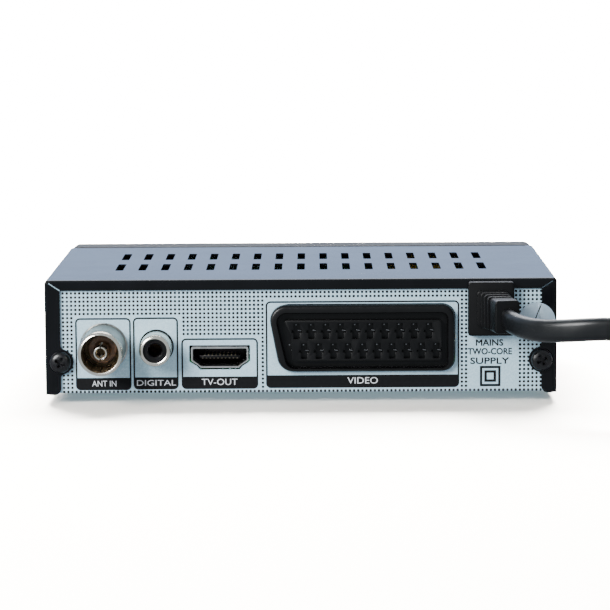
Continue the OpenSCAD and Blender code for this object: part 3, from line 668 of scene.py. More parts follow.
def lamp(name, place, aim, size, power, colour="ffffff"):
    """A soft square panel light, places and size in metres."""
    data = bpy.data.lights.new(name, "AREA")
    data.shape = "SQUARE"
    data.size = size
    data.energy = power
    data.color = linear(colour)[:3]
    made = bpy.data.objects.new(name, data)
    made.location = place
    made.rotation_euler = (Vector(aim) - Vector(place)).to_track_quat("-Z", "Y").to_euler()
    bpy.context.scene.collection.objects.link(made)
    return made


def studio():
    """Pale light all round, a large soft light above and beyond the recorder, and weaker ones in front."""
    world = bpy.data.worlds.new("studio")
    bpy.context.scene.world = world
    world.use_nodes = True
    background = world.node_tree.nodes["Background"]
    background.inputs["Color"].default_value = (0.84, 0.92, 1.0, 1.0)
    background.inputs["Strength"].default_value = 0.7
    lamp("overhead", (0.05, -1.05, 1.15), (0, -0.02, 0), 1.25, 740).visible_glossy = False
    lamp("overhead_gloss", (0.05, -1.05, 1.16), (0, -0.02, 0), 1.25, 30).visible_diffuse = False
    lamp("front_left", (0.4, 0.5, 0.32), (0.02, 0, 0.02), 0.3, 11)
    lamp("front_right", (-0.9, 1.4, 0.5), (0, 0, 0.02), 0.8, 3).visible_glossy = False


def card(name, reach, y, top, colour, strength):
    """An upright sheet that glows, standing on the floor at y and reaching as far to each side."""
    corners = [(-reach, y, 0), (reach, y, 0), (reach, y, top), (-reach, y, top)]
    made = shape(name, lambda mesh: mesh.faces.new([mesh.verts.new(p) for p in corners]))
    surface = bpy.data.materials.new(name)
    surface.use_nodes = True
    tree = surface.node_tree
    glow = add(tree, "ShaderNodeEmission", {"Color": linear(colour), "Strength": strength})
    tree.links.new(glow.outputs["Emission"], tree.nodes["Material Output"].inputs["Surface"])
    made.data.materials.append(surface)
    made.visible_diffuse = made.visible_shadow = made.visible_transmission = False
    return made


def cards():
    """The white wall, which only the camera sees, and the sky-blue card that the top reflects."""
    wall = card("studio_wall", 12, -1.6, 9, "ffffff", 20.0)
    wall.visible_glossy = False
    sky = card("sky_card", 3, -1.5, 1.6, "b4ccf2", 1.6)
    sky.visible_camera = False


def floor():
    """White backdrop paper. It takes light and shadows but throws no glare back on the recorder."""
    made = shape(
        "studio_floor",
        lambda mesh: mesh.faces.new(
            [mesh.verts.new((x, y, 0)) for x, y in ((-30, -30), (30, -30), (30, 30), (-30, 30))]
        ),
    )
    surface, tree, shader, place = material("white_backdrop_paper", "fbf5ec", 0.95, Specular_IOR_Level=0.0)
    mottle(tree, shader, place, 400, "faf4ea", "fcf6ee", 1.0)
    made.data.materials.append(surface)
    made.visible_diffuse = False
    made.visible_glossy = False


camera()
studio()
cards()
floor()


# ---------------------------------------------------------------- steel case and what is printed on it

SHEET = 0.6
FOLD = 0.8  # outer radius of the cover's bends
SIDE_EDGE = 4.0  # width of the folded edge down each side of the rear
TOP_EDGE = 2.7
EAR_R = 3.3
END_R = 1.7  # where each side edge runs out at the bottom
FOOT_R = 1.4
SHANK_HOLE_R = 1.6
SLOT_ROWS = (28.3, 53.3)  # distance of each row's middle from the rear panel
SLOTS = 17
SLOT_PITCH = 6.05
SLOT_WIDE = 2.1
SLOT_LONG = 14.8
QUARTER = [math.pi / 12 * i for i in range(7)]  # a quarter turn in six steps
screw_x = half_w - SIDE_EDGE
screw_z = sum(pair[2] for pair in span("cover_screws")) / 2
opening_top = roof_z - TOP_EDGE


def arch(inset, low):
    """The cover's outline seen from behind, inset by a distance and open down to low."""
    w, top = half_w - inset, roof_z - inset
    radius = FOLD + 0.2 if inset == 0 else 0.5
    return rounded([(-w, low), (w, low), (w, top), (-w, top)], [0, 0, radius, radius])


def rear_opening():
    """The hole that the folded edges leave, round the two ears that carry the screws."""
    low = case_z - 5
    fillet = 1.2
    reach = math.sqrt((EAR_R + fillet) ** 2 - fillet**2)
    lean = math.atan2(reach, fillet)
    ear = []
    for i in range(7):  # fillet above the ear, from the edge round to the ear
        a = lean * i / 6
        ear.append((-fillet + fillet * math.cos(a), reach - fillet * math.sin(a)))
    for i in range(1, 20):
        a = math.pi - lean + 2 * lean * i / 20
        ear.append((EAR_R * math.cos(a), EAR_R * math.sin(a)))
    for i in range(7):
        a = lean * (6 - i) / 6
        ear.append((-fillet + fillet * math.cos(a), -reach + fillet * math.sin(a)))
    end = [(END_R - END_R * math.cos(a), case_z + END_R - END_R * math.sin(a)) for a in QUARTER]
    right = [(screw_x, opening_top)]
    right += [(screw_x + x, screw_z + z) for x, z in ear]
    right += [(screw_x + x, z) for x, z in end] + [(screw_x + END_R, low)]
    return [Vector(p) for p in right] + [Vector((-x, z)) for x, z in reversed(right)]


def vent_slots(mesh):
    low, high = roof_z - 3, roof_z + 2
    for behind in SLOT_ROWS:
        for i in range(SLOTS):
            x = (i - SLOTS // 2) * SLOT_PITCH
            outline = box_outline(x, panel_y - behind, SLOT_WIDE, SLOT_LONG, 0.35, 3)
            prism_z(mesh, outline, low, high)


def edge_seams(mesh):
    """Open mitres at the top corners, and the rounded outer foot of each folded side edge."""
    for side in (-1, 1):
        inner = Vector((side * screw_x, opening_top))
        outer = Vector((side * (half_w - 0.25), roof_z - 0.2))
        across = (outer - inner).normalized().orthogonal() * 0.15
        mitre = [inner + across, inner - across, outer - across, outer + across]
        prism_y(mesh, mitre, flange_y - 0.75, flange_y + 1)
        x, z = half_w - FOOT_R, case_z + FOOT_R
        foot = [(x + FOOT_R * math.sin(a), z - FOOT_R * math.cos(a)) for a in QUARTER[::-1]]
        foot = [(half_w + 1, case_z - 1), *foot, (x, case_z - 1)]
        prism_y(mesh, [(side * x, z) for x, z in foot], flange_y - 1.0, flange_y + 1)


def screw_holes(mesh):
    for side in (-1, 1):
        prism_y(mesh, circle(side * screw_x, screw_z, SHANK_HOLE_R, 24), flange_y - 2, flange_y + 2)


def cover():
    made = shape("cover", lambda mesh: prism_y(mesh, arch(0, case_z), split_y, flange_y))
    mesh = bmesh.new()
    mesh.from_mesh(made.data)
    rim = [
        edge
        for edge in mesh.edges
        if all(v.co.y > flange_y - 0.01 for v in edge.verts)
        and any(v.co.z > case_z + 0.01 for v in edge.verts)
    ]
    bmesh.ops.bevel(mesh, geom=rim, offset=FOLD, segments=4, profile=0.5, affect="EDGES")
    mesh.to_mesh(made.data)
    mesh.free()
    cut(made, lambda mesh: prism_y(mesh, arch(SHEET, case_z - 5), split_y - 5, flange_y - SHEET))
    cut(made, lambda mesh: prism_y(mesh, rear_opening(), flange_y - 3, flange_y + 3))
    cut(made, edge_seams)
    cut(made, vent_slots)
    cut(made, screw_holes)
    ease(made, 0.09, 2, math.radians(40))
    piece(made, ENAMEL, "black_painted_steel", "top_cover", angle=math.radians(30), flat=True)


DOT_PITCH = 1.071
COLUMN_PITCH = DOT_PITCH * 1.006
ROW_PITCH = DOT_PITCH * 1.004
DOT_COLUMNS = 116
DOT_ROWS = 25
FIRST_DOT = (61.65, 3.22)
DOT_R = 0.35
INK_Y = panel_y + 0.012
INK_THICK = 0.012
LINE = 0.42

# Printed frames: left, right, bottom, top, and the top of the black band along the bottom.
FRAMES = (
    (58.55, 44.1, 3.62, 22.55, 6.85),
    (43.55, 31.85, 3.75, 22.65, 6.95),
    (31.05, 11.15, 3.8, 17.1, 7.05),
    (9.1, -41.1, 3.95, 26.7, 7.3),
)
# Areas without dots: left, right and top, from the bottom row up.
CLEAR_AREAS = ((59.4, 30.6, 23.6), (31.4, 10.75, 18.0), (9.25, -41.35, 26.95), (-43.3, -56.0, 18.6))


def dot_points():
    """The dots' places: the bottom row is whole, the others leave the clear areas out."""
    found = []
    for row in range(DOT_ROWS):
        z = FIRST_DOT[1] + row * ROW_PITCH
        for column in range(DOT_COLUMNS):
            x = FIRST_DOT[0] - column * COLUMN_PITCH
            clear = any(right < x < left and z < top for left, right, top in CLEAR_AREAS)
            if row == 0 or not clear:
                found.append(Vector((x, INK_Y, z)))
    return found


def printed_dot(mesh):
    """An octagon a little larger than the round dot, so that it covers as much."""
    around = [math.pi * (i + 0.5) / 4 for i in range(8)]
    outline = [(DOT_R * math.cos(a) * 1.04, DOT_R * math.sin(a) * 1.04) for a in around]
    loft(mesh, [at_y(outline, -0.01), at_y(outline, INK_THICK)], (False, True))


def printed_frames(mesh):
    for left, right, low, high, band in FRAMES:
        middle = ((left + right) / 2, (low + high) / 2)
        outer = box_outline(*middle, left - right, high - low, 1.25, 8)
        inner = box_outline(*middle, left - right - 2 * LINE, high - low - 2 * LINE, 1.25 - LINE, 8)
        ring_y(mesh, outer, inner, INK_Y, INK_Y + INK_THICK)
        x0, x1, z0 = right + 0.02, left - 0.02, low + 0.02
        foot = rounded([(x0, z0), (x1, z0), (x1, band), (x0, band)], [1.2, 1.2, 0, 0], 8)
        prism_y(mesh, foot, INK_Y, INK_Y + 0.013)


SQUARES = (-49.15, 6.8)  # the middle of the double square


def square_ring(mesh, size, line):
    x, z = SQUARES
    outer = box_outline(x, z, size, size, 0.08, 2)
    inner = box_outline(x, z, size - 2 * line, size - 2 * line, 0.04, 2)
    ring_y(mesh, outer, inner, INK_Y, INK_Y + INK_THICK)


def double_square(mesh):
    square_ring(mesh, 5.35, 0.6)
    square_ring(mesh, 3.05, 0.66)


def words(text, x, z, width, height, y, finish):
    """Printed capitals centred at x, with their feet at z, read from behind the recorder."""
    data = bpy.data.curves.new("words", "FONT")
    data.body = text
    data.align_x = "LEFT"
    data.extrude = 0.006
    data.resolution_u = 3
    made = bpy.data.objects.new("words_" + re.sub("[^a-z]", "_", text.lower()), data)
    bpy.context.scene.collection.objects.link(made)
    bpy.context.view_layer.update()
    graph = bpy.context.evaluated_depsgraph_get()
    flat = bpy.data.meshes.new_from_object(made.evaluated_get(graph))
    name = made.name
    discard(made)
    across = [v.co.x for v in flat.vertices]
    up = [v.co.y for v in flat.vertices]
    for v in flat.vertices:
        left = (v.co.x - (min(across) + max(across)) / 2) / (max(across) - min(across)) * width
        rise = (v.co.y - min(up)) / (max(up) - min(up)) * height
        v.co = (x - left, y + v.co.z, z + rise)
    made = bpy.data.objects.new(name, flat)
    bpy.context.scene.collection.objects.link(made)
    return finished(made, finish)


# Each word: its middle, its foot, its width and its height.
BLACK_WORDS = (
    ("MAINS", -48.95, 14.78, 7.0, 1.62),
    ("TWO-CORE", -49.05, 12.5, 11.4, 1.62),
    ("SUPPLY", -49.0, 10.02, 10.0, 1.62),
)
WHITE_WORDS = (
    ("ANT IN", 51.2, 4.62, 6.3, 1.5),
    ("DIGITAL", 37.6, 4.75, 10.2, 1.5),
    ("TV-OUT", 21.2, 4.82, 9.3, 1.66),
    ("VIDEO", -16.0, 5.0, 7.9, 1.7),
)
# The black words are printed heavy: four copies, each moved this far across and up.
HEAVY = ((-0.05, -0.05), (0.05, -0.04), (-0.04, 0.05), (0.05, 0.05))


def print_on_panel():
    dots = set_out("printed_dots", dot_points(), printed_dot, INK, 0.1)
    piece(dots, None, "black_painted_steel")
    frames = finished(shape("printed_frames", printed_frames), INK)
    square = finished(shape("printed_square", double_square), INK)
    black = []
    for text, x, z, width, height in BLACK_WORDS:
        for i, (across, up) in enumerate(HEAVY):
            level = INK_Y + 0.004 + 0.002 * i
            black.append(words(text, x + across, z + up, width, height, level, INK))
    piece(join(frames, square, *black), None, "black_painted_steel")
    white = [words(*word, INK_Y + 0.02, LETTERS) for word in WHITE_WORDS]
    white[0].name = "printed_labels"
    piece(join(*white), None, "silver_painted_steel")


cover()
print_on_panel()


# ---------------------------------------------------------------- rear sockets

socket_y = panel_y - 1.2  # rear faces of the sockets' bodies, just inside the panel
barrel_low, barrel_high = span("rf_socket_barrel")
rf_x, rf_z = (barrel_low.x + barrel_high.x) / 2, (barrel_low.z + barrel_high.z) / 2
collar_low, collar_high = span("rca_socket_shell")
rca_x = (collar_low.x + collar_high.x) / 2
shell_low, shell_high = span("hdmi_socket_shell")
hdmi_x, hdmi_z = (shell_low.x + shell_high.x) / 2, (shell_low.z + shell_high.z) / 2
board_top = span("main_board")[1].z
scart_x, scart_z = -16.0, 17.1


def from_panel(profile):
    """A profile of (radius, distance behind the panel) with the panel's own place added."""
    return [(r, panel_y + y) for r, y in profile]


def finger(mesh, x, z, start, end, low, high):
    """One spring finger of a socket's lining: a curved strip that bulges inwards."""
    rings = []
    for i in range(5):
        a = start + (end - start) * i / 4
        ring = []
        for r, y in ((4.79, low), (4.62, low + 2), (4.5, (low + high) / 2 + 1), (4.66, high), (4.79, high)):
            ring.append(Vector((x + r * math.cos(a), panel_y + y, z + r * math.sin(a))))
        rings.append(ring)
    loft(mesh, rings)


LINING_FINGERS = 12


def aerial_socket():
    barrel = [
        (3.4, -1.2), (5.7, -1.2), (5.7, 0.4), (5.82, 0.7), (5.82, 11.9), (5.78, 12.4), (5.66, 12.85),
        (5.46, 13.2), (5.22, 13.42), (5.02, 13.5), (4.88, 13.46), (4.8, 13.3), (4.8, 2.0), (3.4, 2.0),
    ]
    made = shape("aerial_barrel", lambda mesh: turned(mesh, rf_x, rf_z, from_panel(barrel), 96))
    for finish in (NICKEL_SHADED_COPY, NICKEL, DULL_BRASS_AND_SHADE):
        made.data.materials.append(finish)
    # Painted light: faces inside the bore take the dark brass as painted shade, and the front lip takes the
    # bright nickel as a painted highlight against the greyer body.
    for face in made.data.polygons:
        x, y, z = face.center
        if math.hypot(x - rf_x, z - rf_z) < 4.82 and y > panel_y + 1.9:
            face.material_index = 2
        elif y > panel_y + 12.6:
            face.material_index = 1

    def lining(mesh):
        for i in range(LINING_FINGERS):
            a = 2 * math.pi * (i + 0.07) / LINING_FINGERS
            finger(mesh, rf_x, rf_z, a, a + 2 * math.pi * 0.86 / LINING_FINGERS, 2.4, 12.6)

    # The lining takes the dark brass as painted shade inside the bore.
    piece(join(made, finished(shape("lining", lining), DULL_BRASS_AND_SHADE)), None, "nickel_plate", "rf_socket_barrel")

    insulator = [
        (1.95, -1.2), (3.35, -1.2), (3.35, 2.05), (3.7, 2.1), (3.7, 3.95), (3.5, 4.2), (2.3, 4.2),
        (1.95, 3.9),
    ]
    made = shape("aerial_insulator", lambda mesh: turned(mesh, rf_x, rf_z, from_panel(insulator), 72))
    piece(made, TAN, "tan_insulator", "rf_socket_insulator")

    tube = [
        (0.2, -0.9), (1.9, -0.9), (1.9, 11.4), (1.83, 11.75), (1.66, 11.95), (1.48, 12.0), (1.33, 11.9),
        (1.25, 11.6), (1.25, 2.0), (0.2, 2.0),
    ]
    made = shape("aerial_contact", lambda mesh: turned(mesh, rf_x, rf_z, from_panel(tube), 48))
    slit = ((rf_x - 0.2, panel_y + 5, rf_z - 3), (rf_x + 0.2, panel_y + 13.5, rf_z + 3))
    cut(made, lambda mesh: block(mesh, *slit))
    sleeve = [(1.02, 2.1), (1.24, 2.1), (1.24, 11.2), (1.02, 11.0)]
    sleeve = shape("sleeve", lambda mesh: turned(mesh, rf_x, rf_z, from_panel(sleeve), 40))
    cut(sleeve, lambda mesh: block(mesh, *slit))
    hole = circle(rf_x, rf_z, 1.1, 32)
    plug = shape("plug", lambda mesh: prism_y(mesh, hole, panel_y + 2.05, panel_y + 7))
    # The sleeve and plug inside the tube take the dark brass as painted shade.
    made = join(finished(made, NICKEL), finished(sleeve, DULL_BRASS_AND_SHADE), finished(plug, DULL_BRASS_AND_SHADE))
    piece(made, None, "nickel_plate", "rf_center_contact")


def audio_socket():
    collar = [
        (3.3, -1.2), (3.95, -1.2), (3.95, 0.4), (4.15, 0.6), (4.15, 6.9), (4.12, 7.3), (4.0, 7.7),
        (3.78, 8.0), (3.52, 8.16), (3.3, 8.2), (3.12, 8.12), (3.02, 7.9), (3.06, 7.6), (3.3, 7.4),
    ]
    made = shape("audio_collar", lambda mesh: turned(mesh, rca_x, rf_z, from_panel(collar), 72))
    piece(made, NICKEL, "nickel_plate", "rca_socket_shell")
    core = [
        (1.7, -0.5), (2.05, -0.5), (2.05, -9.2), (3.25, -9.2), (3.25, 7.1), (3.05, 7.3), (2.1, 7.3),
        (1.8, 7.05), (1.7, 6.7),
    ]

    def body(mesh):
        turned(mesh, rca_x, rf_z, from_panel(core), 48)

    made = shape("audio_core", body)
    low, high = (rca_x - 4.9, socket_y - 12, board_top), (rca_x + 4.9, socket_y, rf_z + 5)
    box = shape("audio_body", lambda mesh: block(mesh, low, high))
    cut(box, lambda mesh: prism_y(mesh, circle(rca_x, rf_z, 2.1), socket_y - 8, socket_y + 1))
    ease(box, 0.25)
    piece(join(made, box), PBT, "black_socket_plastic", "rca_socket_body")


def hdmi_outline(grow, radius, steps=4):
    half = [
        (7.45 + grow, 2.75 + grow),
        (7.45 + grow, -0.9 - grow * 0.4),
        (5.75 + grow * 0.4, -2.0 - grow * 0.6),
        (4.95 + grow * 0.4, -2.75 - grow),
    ]
    right = [(hdmi_x + x, hdmi_z + z) for x, z in half]
    left = [(hdmi_x - x, hdmi_z + z) for x, z in reversed(half)]
    return rounded(right + left, [radius] * 8, steps)


def digital_picture_socket():
    front, back = panel_y + 0.2, panel_y - 11.3

    def shell(mesh):
        levels = (
            (0, back), (0, front - 0.12), (-0.06, front), (-0.4, front), (-0.5, front - 0.14),
            (-0.5, back + 1),
        )
        loft(mesh, [at_y(hdmi_outline(grow, 0.42), y) for grow, y in levels], (True, True))

    made = shape("picture_socket_shell", shell)

    def springs(mesh):
        for side in (-1, 1):
            x = hdmi_x + side * 6.35
            leaf = ((-0.45, -1.35), (-0.35, -1.55), (0.35, -0.75), (0.25, -0.55))
            leaf = [(x + across, hdmi_z + up) for across, up in leaf]
            prism_y(mesh, leaf, front - 3.2, front - 1.2)

    spring = shape("picture_socket_springs", springs)
    ease(spring, 0.06, 2)
    made = join(made, spring)
    # Painted shade: faces behind the front rim take the dark tin, so only the rim shows bright tin.
    for finish in (TIN, SHADE_PAINTED_TIN):
        made.data.materials.append(finish)
    for face in made.data.polygons:
        face.material_index = int(face.center.y < front - 0.1)
    piece(made, None, "tinplate", "hdmi_socket_shell")

    def tongue(mesh):
        prism_y(mesh, hdmi_outline(-0.55, 0.3), back + 1, back + 4)
        block(mesh, (hdmi_x - 5.2, back + 3.9, hdmi_z - 0.35), (hdmi_x + 5.2, front - 1.6, hdmi_z + 0.3))

    made = shape("picture_socket_tongue", tongue)
    ease(made, 0.12, 2)
    piece(made, PBT, "black_socket_plastic", "hdmi_socket_tongue")
    places = [Vector((hdmi_x - 4.5 + i, 0, hdmi_z - 0.39)) for i in range(10)]
    places += [Vector((hdmi_x - 4.0 + i, 0, hdmi_z + 0.33)) for i in range(9)]
    made = set_out(
        "picture_socket_contacts",
        places,
        lambda mesh: block(mesh, (-0.17, front - 7.4, -0.06), (0.17, front - 1.7, 0.06)),
        DULL_GOLD,
    )
    piece(made, None, "gold_plate", "hdmi_contacts")


def scart_outline(side, top, bottom, radius):
    """The wide socket's outline, inset on its sides, top and bottom: its side towards +X leans in."""
    low_x = scart_x - 23.9 + side * 0.6
    high_x = scart_x + 24.8 - side * 0.66
    half_h = 8.7
    slant = 3.3
    points = [
        (low_x, scart_z + half_h - top),
        (low_x, scart_z - half_h + bottom),
        (high_x - slant, scart_z - half_h + bottom),
        (high_x, scart_z + half_h - top),
    ]
    return rounded(points, [radius, radius, radius + 0.8, radius + 0.8], 10)


PITCH = 3.81
UPPER = [Vector((scart_x - 0.08 + (4.5 - i) * PITCH, 0, scart_z + 1.75)) for i in range(10)]
LOWER = [Vector((p.x - PITCH / 2, 0, scart_z - 3.48)) for p in UPPER]
scart_front = panel_y + 1.8
block_front = panel_y + 0.4
groove = panel_y - 6


def scart_body():
    levels = (
        (0, 0, 0, 3.3, socket_y), (0, 0, 0, 3.3, scart_front - 0.9),
        (0.12, 0.12, 0.1, 3.2, scart_front - 0.5), (0.45, 0.45, 0.25, 3.0, scart_front - 0.14),
        (0.95, 0.85, 0.4, 2.7, scart_front),
        (2.8, 1.95, 0.75, 1.8, scart_front), (3.05, 2.15, 0.88, 1.6, scart_front - 0.22),
        (3.2, 2.25, 0.95, 1.5, scart_front - 0.8), (3.4, 2.4, 1.1, 1.4, groove),
    )

    def rim(mesh):
        loft(mesh, [at_y(scart_outline(*inset), y) for *inset, y in levels])
        low = (scart_x - 23.6, socket_y - 13, board_top)
        high = (scart_x + 23.6, socket_y - 0.02, scart_z + 8)
        block(mesh, low, high)

    made = shape("wide_socket_body", rim)

    def core(mesh):
        outline = [
            (scart_x - 20.5, scart_z + 4.6),
            (scart_x - 20.5, scart_z - 6.1),
            (scart_x + 18.3, scart_z - 6.1),
            (scart_x + 18.5, scart_z + 0.6),
            (scart_x + 20.4, scart_z + 4.6),
        ]
        prism_y(mesh, rounded(outline, [0.9, 0.9, 0.9, 0.6, 0.5], 5), groove - 0.05, block_front)

    blocked = shape("wide_socket_core", core)

    def slots(mesh):
        for p in UPPER + LOWER:
            block(mesh, (p.x - 0.82, groove + 0.5, p.z - 2.05), (p.x + 0.82, block_front + 1, p.z + 2.05))

    def arms(mesh):
        for p in UPPER + LOWER:
            block(mesh, (p.x - 1.3, block_front - 2.6, p.z - 0.4), (p.x + 1.3, block_front + 1, p.z + 0.4))

    cut(blocked, slots)
    cut(blocked, arms)
    ease(blocked, 0.09, 2)
    piece(join(made, blocked), PBT, "black_socket_plastic", "scart_housing")

    def spring(mesh):
        """A folded contact: a leaf down the slot, its bent tip above and its ear in the side arm."""
        block(mesh, (-0.5, groove + 0.6, -1.9), (-0.3, block_front - 3.4, 1.9))
        tip = [(0.0, 1.38), (0.28, 1.34), (0.36, 1.52), (0.2, 1.68), (-0.02, 1.62)]
        prism_y(mesh, tip, block_front - 2.6, block_front - 1.5)
        ear = [(-0.3, 0.14), (-0.7, 0.09), (-1.15, -0.02), (-1.17, 0.12), (-0.7, 0.24), (-0.3, 0.28)]
        prism_y(mesh, ear, block_front - 2.2, block_front - 0.55)

    shield_at = LOWER[0] + Vector((PITCH - 0.15, 0, 0))
    made = set_out("wide_socket_contacts", [*UPPER, *LOWER, shield_at], spring, DULL_TIN)
    piece(made, None, "gold_plate", "scart_contacts")


aerial_socket()
audio_socket()
digital_picture_socket()
scart_body()


# ---------------------------------------------------------------- screws, sticker and feet


def pan_head(mesh, x, z):
    """A pan head with a rounded shoulder, and its shank."""
    y = flange_y
    profile = [
        (0.6, y + 1.95), (1.5, y + 1.9), (2.15, y + 1.72), (2.6, y + 1.3), (2.78, y + 0.75), (2.8, y + 0.02),
        (1.4, y), (1.4, y - 5.6), (0.6, y - 6.0),
    ]
    turned(mesh, x, z, profile, 56, closed=False)


def cross_recess(mesh, x, z, turn):
    """A tapered cross with short arms."""
    rings = []
    for y, reach, half in ((flange_y + 0.5, 0.9, 0.26), (flange_y + 3, 1.85, 0.5)):
        ring = []
        for k in range(4):
            a = turn + math.pi / 2 * k
            for u, v in ((reach, -half), (reach, half), (half, half)):
                across = x + u * math.cos(a) - v * math.sin(a)
                up = z + u * math.sin(a) + v * math.cos(a)
                ring.append(Vector((across, y, up)))
        rings.append(ring)
    loft(mesh, rings)


def cover_screws():
    """Both screws, each stopped at its own turn; the second stands for the CAD's pair."""
    screws = (("cover_screw_left", -screw_x, 61, []), ("cover_screw_right", screw_x, 24, ["cover_screws"]))
    for name, x, degrees, stands_for in screws:
        made = shape(name, lambda mesh: pan_head(mesh, x, screw_z))
        cut(made, lambda mesh: cross_recess(mesh, x, screw_z, math.radians(degrees)))
        ease(made, 0.06, 2, math.radians(50))
        piece(made, OXIDE, "black_oxide_steel", *stands_for)


STICKER = Vector((-61.2, 21.35))
STICKER_R = 4.72
STICKER_RINGS = 12
STICKER_SIDES = 72


def drape(x, lift):
    """Where the sticker lies along Y: on the panel, or up on the cover's edge, with a ramp between."""
    ramp = 0.9
    step = eased((-screw_x + ramp - x) / ramp)
    return panel_y + 0.1 + (flange_y - panel_y) * step + lift


def eased(t):
    t = min(max(t, 0.0), 1.0)
    return t * t * (3 - 2 * t)


def sticker():
    def disc(mesh):
        skins = []
        for lift in (0.0, 0.07):
            centre = mesh.verts.new((STICKER.x, drape(STICKER.x, lift), STICKER.y))
            rings = []
            for k in range(1, STICKER_RINGS + 1):
                reach = STICKER_R * k / STICKER_RINGS
                ring = []
                for i in range(STICKER_SIDES):
                    a = 2 * math.pi * i / STICKER_SIDES
                    x = max(STICKER.x + reach * math.cos(a), -half_w + 0.05)
                    ring.append(mesh.verts.new((x, drape(x, lift), STICKER.y + reach * math.sin(a))))
                rings.append(ring)
            for i in range(STICKER_SIDES):
                j = (i + 1) % STICKER_SIDES
                mesh.faces.new((centre, rings[0][i], rings[0][j]))
                for a, b in zip(rings, rings[1:]):
                    mesh.faces.new((a[i], a[j], b[j], b[i]))
            skins.append(rings[-1])
        for i in range(STICKER_SIDES):
            j = (i + 1) % STICKER_SIDES
            mesh.faces.new((skins[0][i], skins[0][j], skins[1][j], skins[1][i]))

    made = finished(shape("round_label", disc), FOIL)

    def stroke(mesh):
        top, bottom = Vector((-62.35, 25.75)), Vector((-59.1, 17.2))
        side = (bottom - top).normalized().orthogonal() * 0.13
        rings = []
        for i in range(25):
            p = top.lerp(bottom, i / 24)
            ring = []
            for q, lift in ((p + side, 0.06), (p - side, 0.06), (p - side, 0.085), (p + side, 0.085)):
                ring.append(Vector((q.x, drape(q.x, lift), q.y)))
            rings.append(ring)
        loft(mesh, rings)

    piece(join(made, finished(shape("label_stroke", stroke), INK)), None, "silver_label", "round_sticker")


def feet():
    low, high = span("rubber_feet")

    def pads(mesh):
        radius = 4.5
        levels = ((3.9, 0.0), (4.35, 0.15), (radius, 0.6), (radius, high.z - 0.5), (4.4, high.z))
        for x in (low.x + radius, high.x - radius):
            for y in (low.y + radius, high.y - radius):
                loft(mesh, [at_z(circle(x, y, r, 40), z) for r, z in levels])

    piece(shape("feet", pads), RUBBER, "foot_rubber", "rubber_feet")


cover_screws()
sticker()
feet()


# ---------------------------------------------------------------- strain relief and mains lead

LEAD_WIDE = 5.8
LEAD_THICK = 3.4
TURN_GAP = 3.65
LAYER_GAP = 5.9
COIL_R = 34.6  # to the middle of the turns
LOW_LAYER = 3.6  # height of the lower turns' middle
coil_x, coil_y = (sum(pair) / 2 for pair in list(zip(*span("mains_lead_coil")))[:2])

# Distance left of the middle seen from the front, distance behind the panel, height. It follows the
# CAD's route, up to 1.8 mm above it between the strain relief and the coil.
LEAD_ROUTE = (
    (50.9, 9, 24.5), (51.35, 12, 24.2), (52.4, 15.8, 23.55), (53.55, 20, 22.9), (55.45, 24.1, 22.45),
    (58.05, 27.8, 22.3), (61.25, 31, 22.5), (64.95, 33.6, 23.0), (69.1, 35.55, 23.7),
    (73.45, 36.7, 24.25), (78, 37.1, 24.4), (84, 36.8, 23.9), (90, 36, 22.1), (96, 34.6, 18.95),
    (102, 32.65, 14.6), (108, 30.2, 9.9), (114, 27.7, 6.6), (120, 25.75, 4.6), (126, 24.35, 3.65),
    (132, 23.55, 3.6), (138, 23.25, 3.6),
)
# From the coil's middle, and height.
TAIL_ROUTE = (
    (9.9, -36.95, 9.75), (19.1, -33.1, 10.7), (27.05, -27.05, 12.3), (33.1, -19.1, 14.1),
    (36.95, -9.9, 15.6), (38.25, 0, 16.25), (36.95, 9.9, 16.1), (33.1, 19.1, 15.8),
    (27.05, 27.05, 15.6), (19.1, 33.1, 15.6), (9.9, 36.95, 15.7), (-1, 38.25, 16),
    (-10.25, 36.6, 16.7), (-18.35, 31.95, 17.5), (-24.4, 24.75, 18.4), (-27.6, 15.95, 19.1),
    (-28, 10, 19.4), (-28, 4, 19.4),
)


def coil_turns():
    """Three turns inwards on the lower layer, then outwards on the upper; each steps over near the tie."""
    radii = [COIL_R + TURN_GAP, COIL_R, COIL_R - TURN_GAP]
    radii += radii[::-1]
    per_turn = 60
    tie_at = 0.75
    half_step = 0.18
    found = []
    for i in range(1, int(per_turn * 5.5) + 1):
        turn, share = divmod(i / per_turn, 1)
        turn = min(int(turn), 5)
        over = eased((share - tie_at + half_step) / (2 * half_step))
        radius = radii[turn] + (radii[min(turn + 1, 5)] - radii[turn]) * over
        height = LOW_LAYER + LAYER_GAP * (over if turn == 2 else float(turn > 2))
        if turn == 2:
            radius -= 2.2 * math.sin(math.pi * over)
        angle = math.pi / 2 + 2 * math.pi * share
        found.append(Vector((coil_x + radius * math.cos(angle), coil_y + radius * math.sin(angle), height)))
    return found


def lead_path():
    first = smooth([Vector((-x, panel_y + y, z)) for x, y, z in LEAD_ROUTE], 5)
    last = smooth([Vector((coil_x + x, coil_y + y, z)) for x, y, z in TAIL_ROUTE], 5)
    return even(first + coil_turns() + last, 3.6)


def stadium(thick, wide, steps=8):
    """The lead's section: two cores side by side, as a flat oval of (across, up)."""
    flat = wide / 2 - thick / 2
    found = []
    for centre, start in ((flat, 0.0), (-flat, math.pi)):
        for i in range(steps + 1):
            a = start + math.pi * i / steps
            found.append((thick / 2 * math.cos(a), centre + thick / 2 * math.sin(a)))
    return found


def lead_tube(mesh, path, section):
    rings = []
    for i, p in enumerate(path):
        along = (path[min(i + 1, len(path) - 1)] - path[max(i - 1, 0)]).normalized()
        side = along.cross(Vector((0, 0, 1))).normalized()
        up = side.cross(along)
        rings.append([p + side * a + up * b for a, b in section])
    loft(mesh, rings)


def mains_lead():
    path = lead_path()
    made = shape("mains_lead_cord", lambda mesh: lead_tube(mesh, path, stadium(LEAD_THICK, LEAD_WIDE)))
    piece(made, PVC, "black_pvc", "mains_lead", "mains_lead_coil", "mains_lead_tail")
    return made, path


RELIEF_X = -49.2
RELIEF_Z = 24.85
RELIEF_BACK = flange_y + 0.05
RIBS = 4


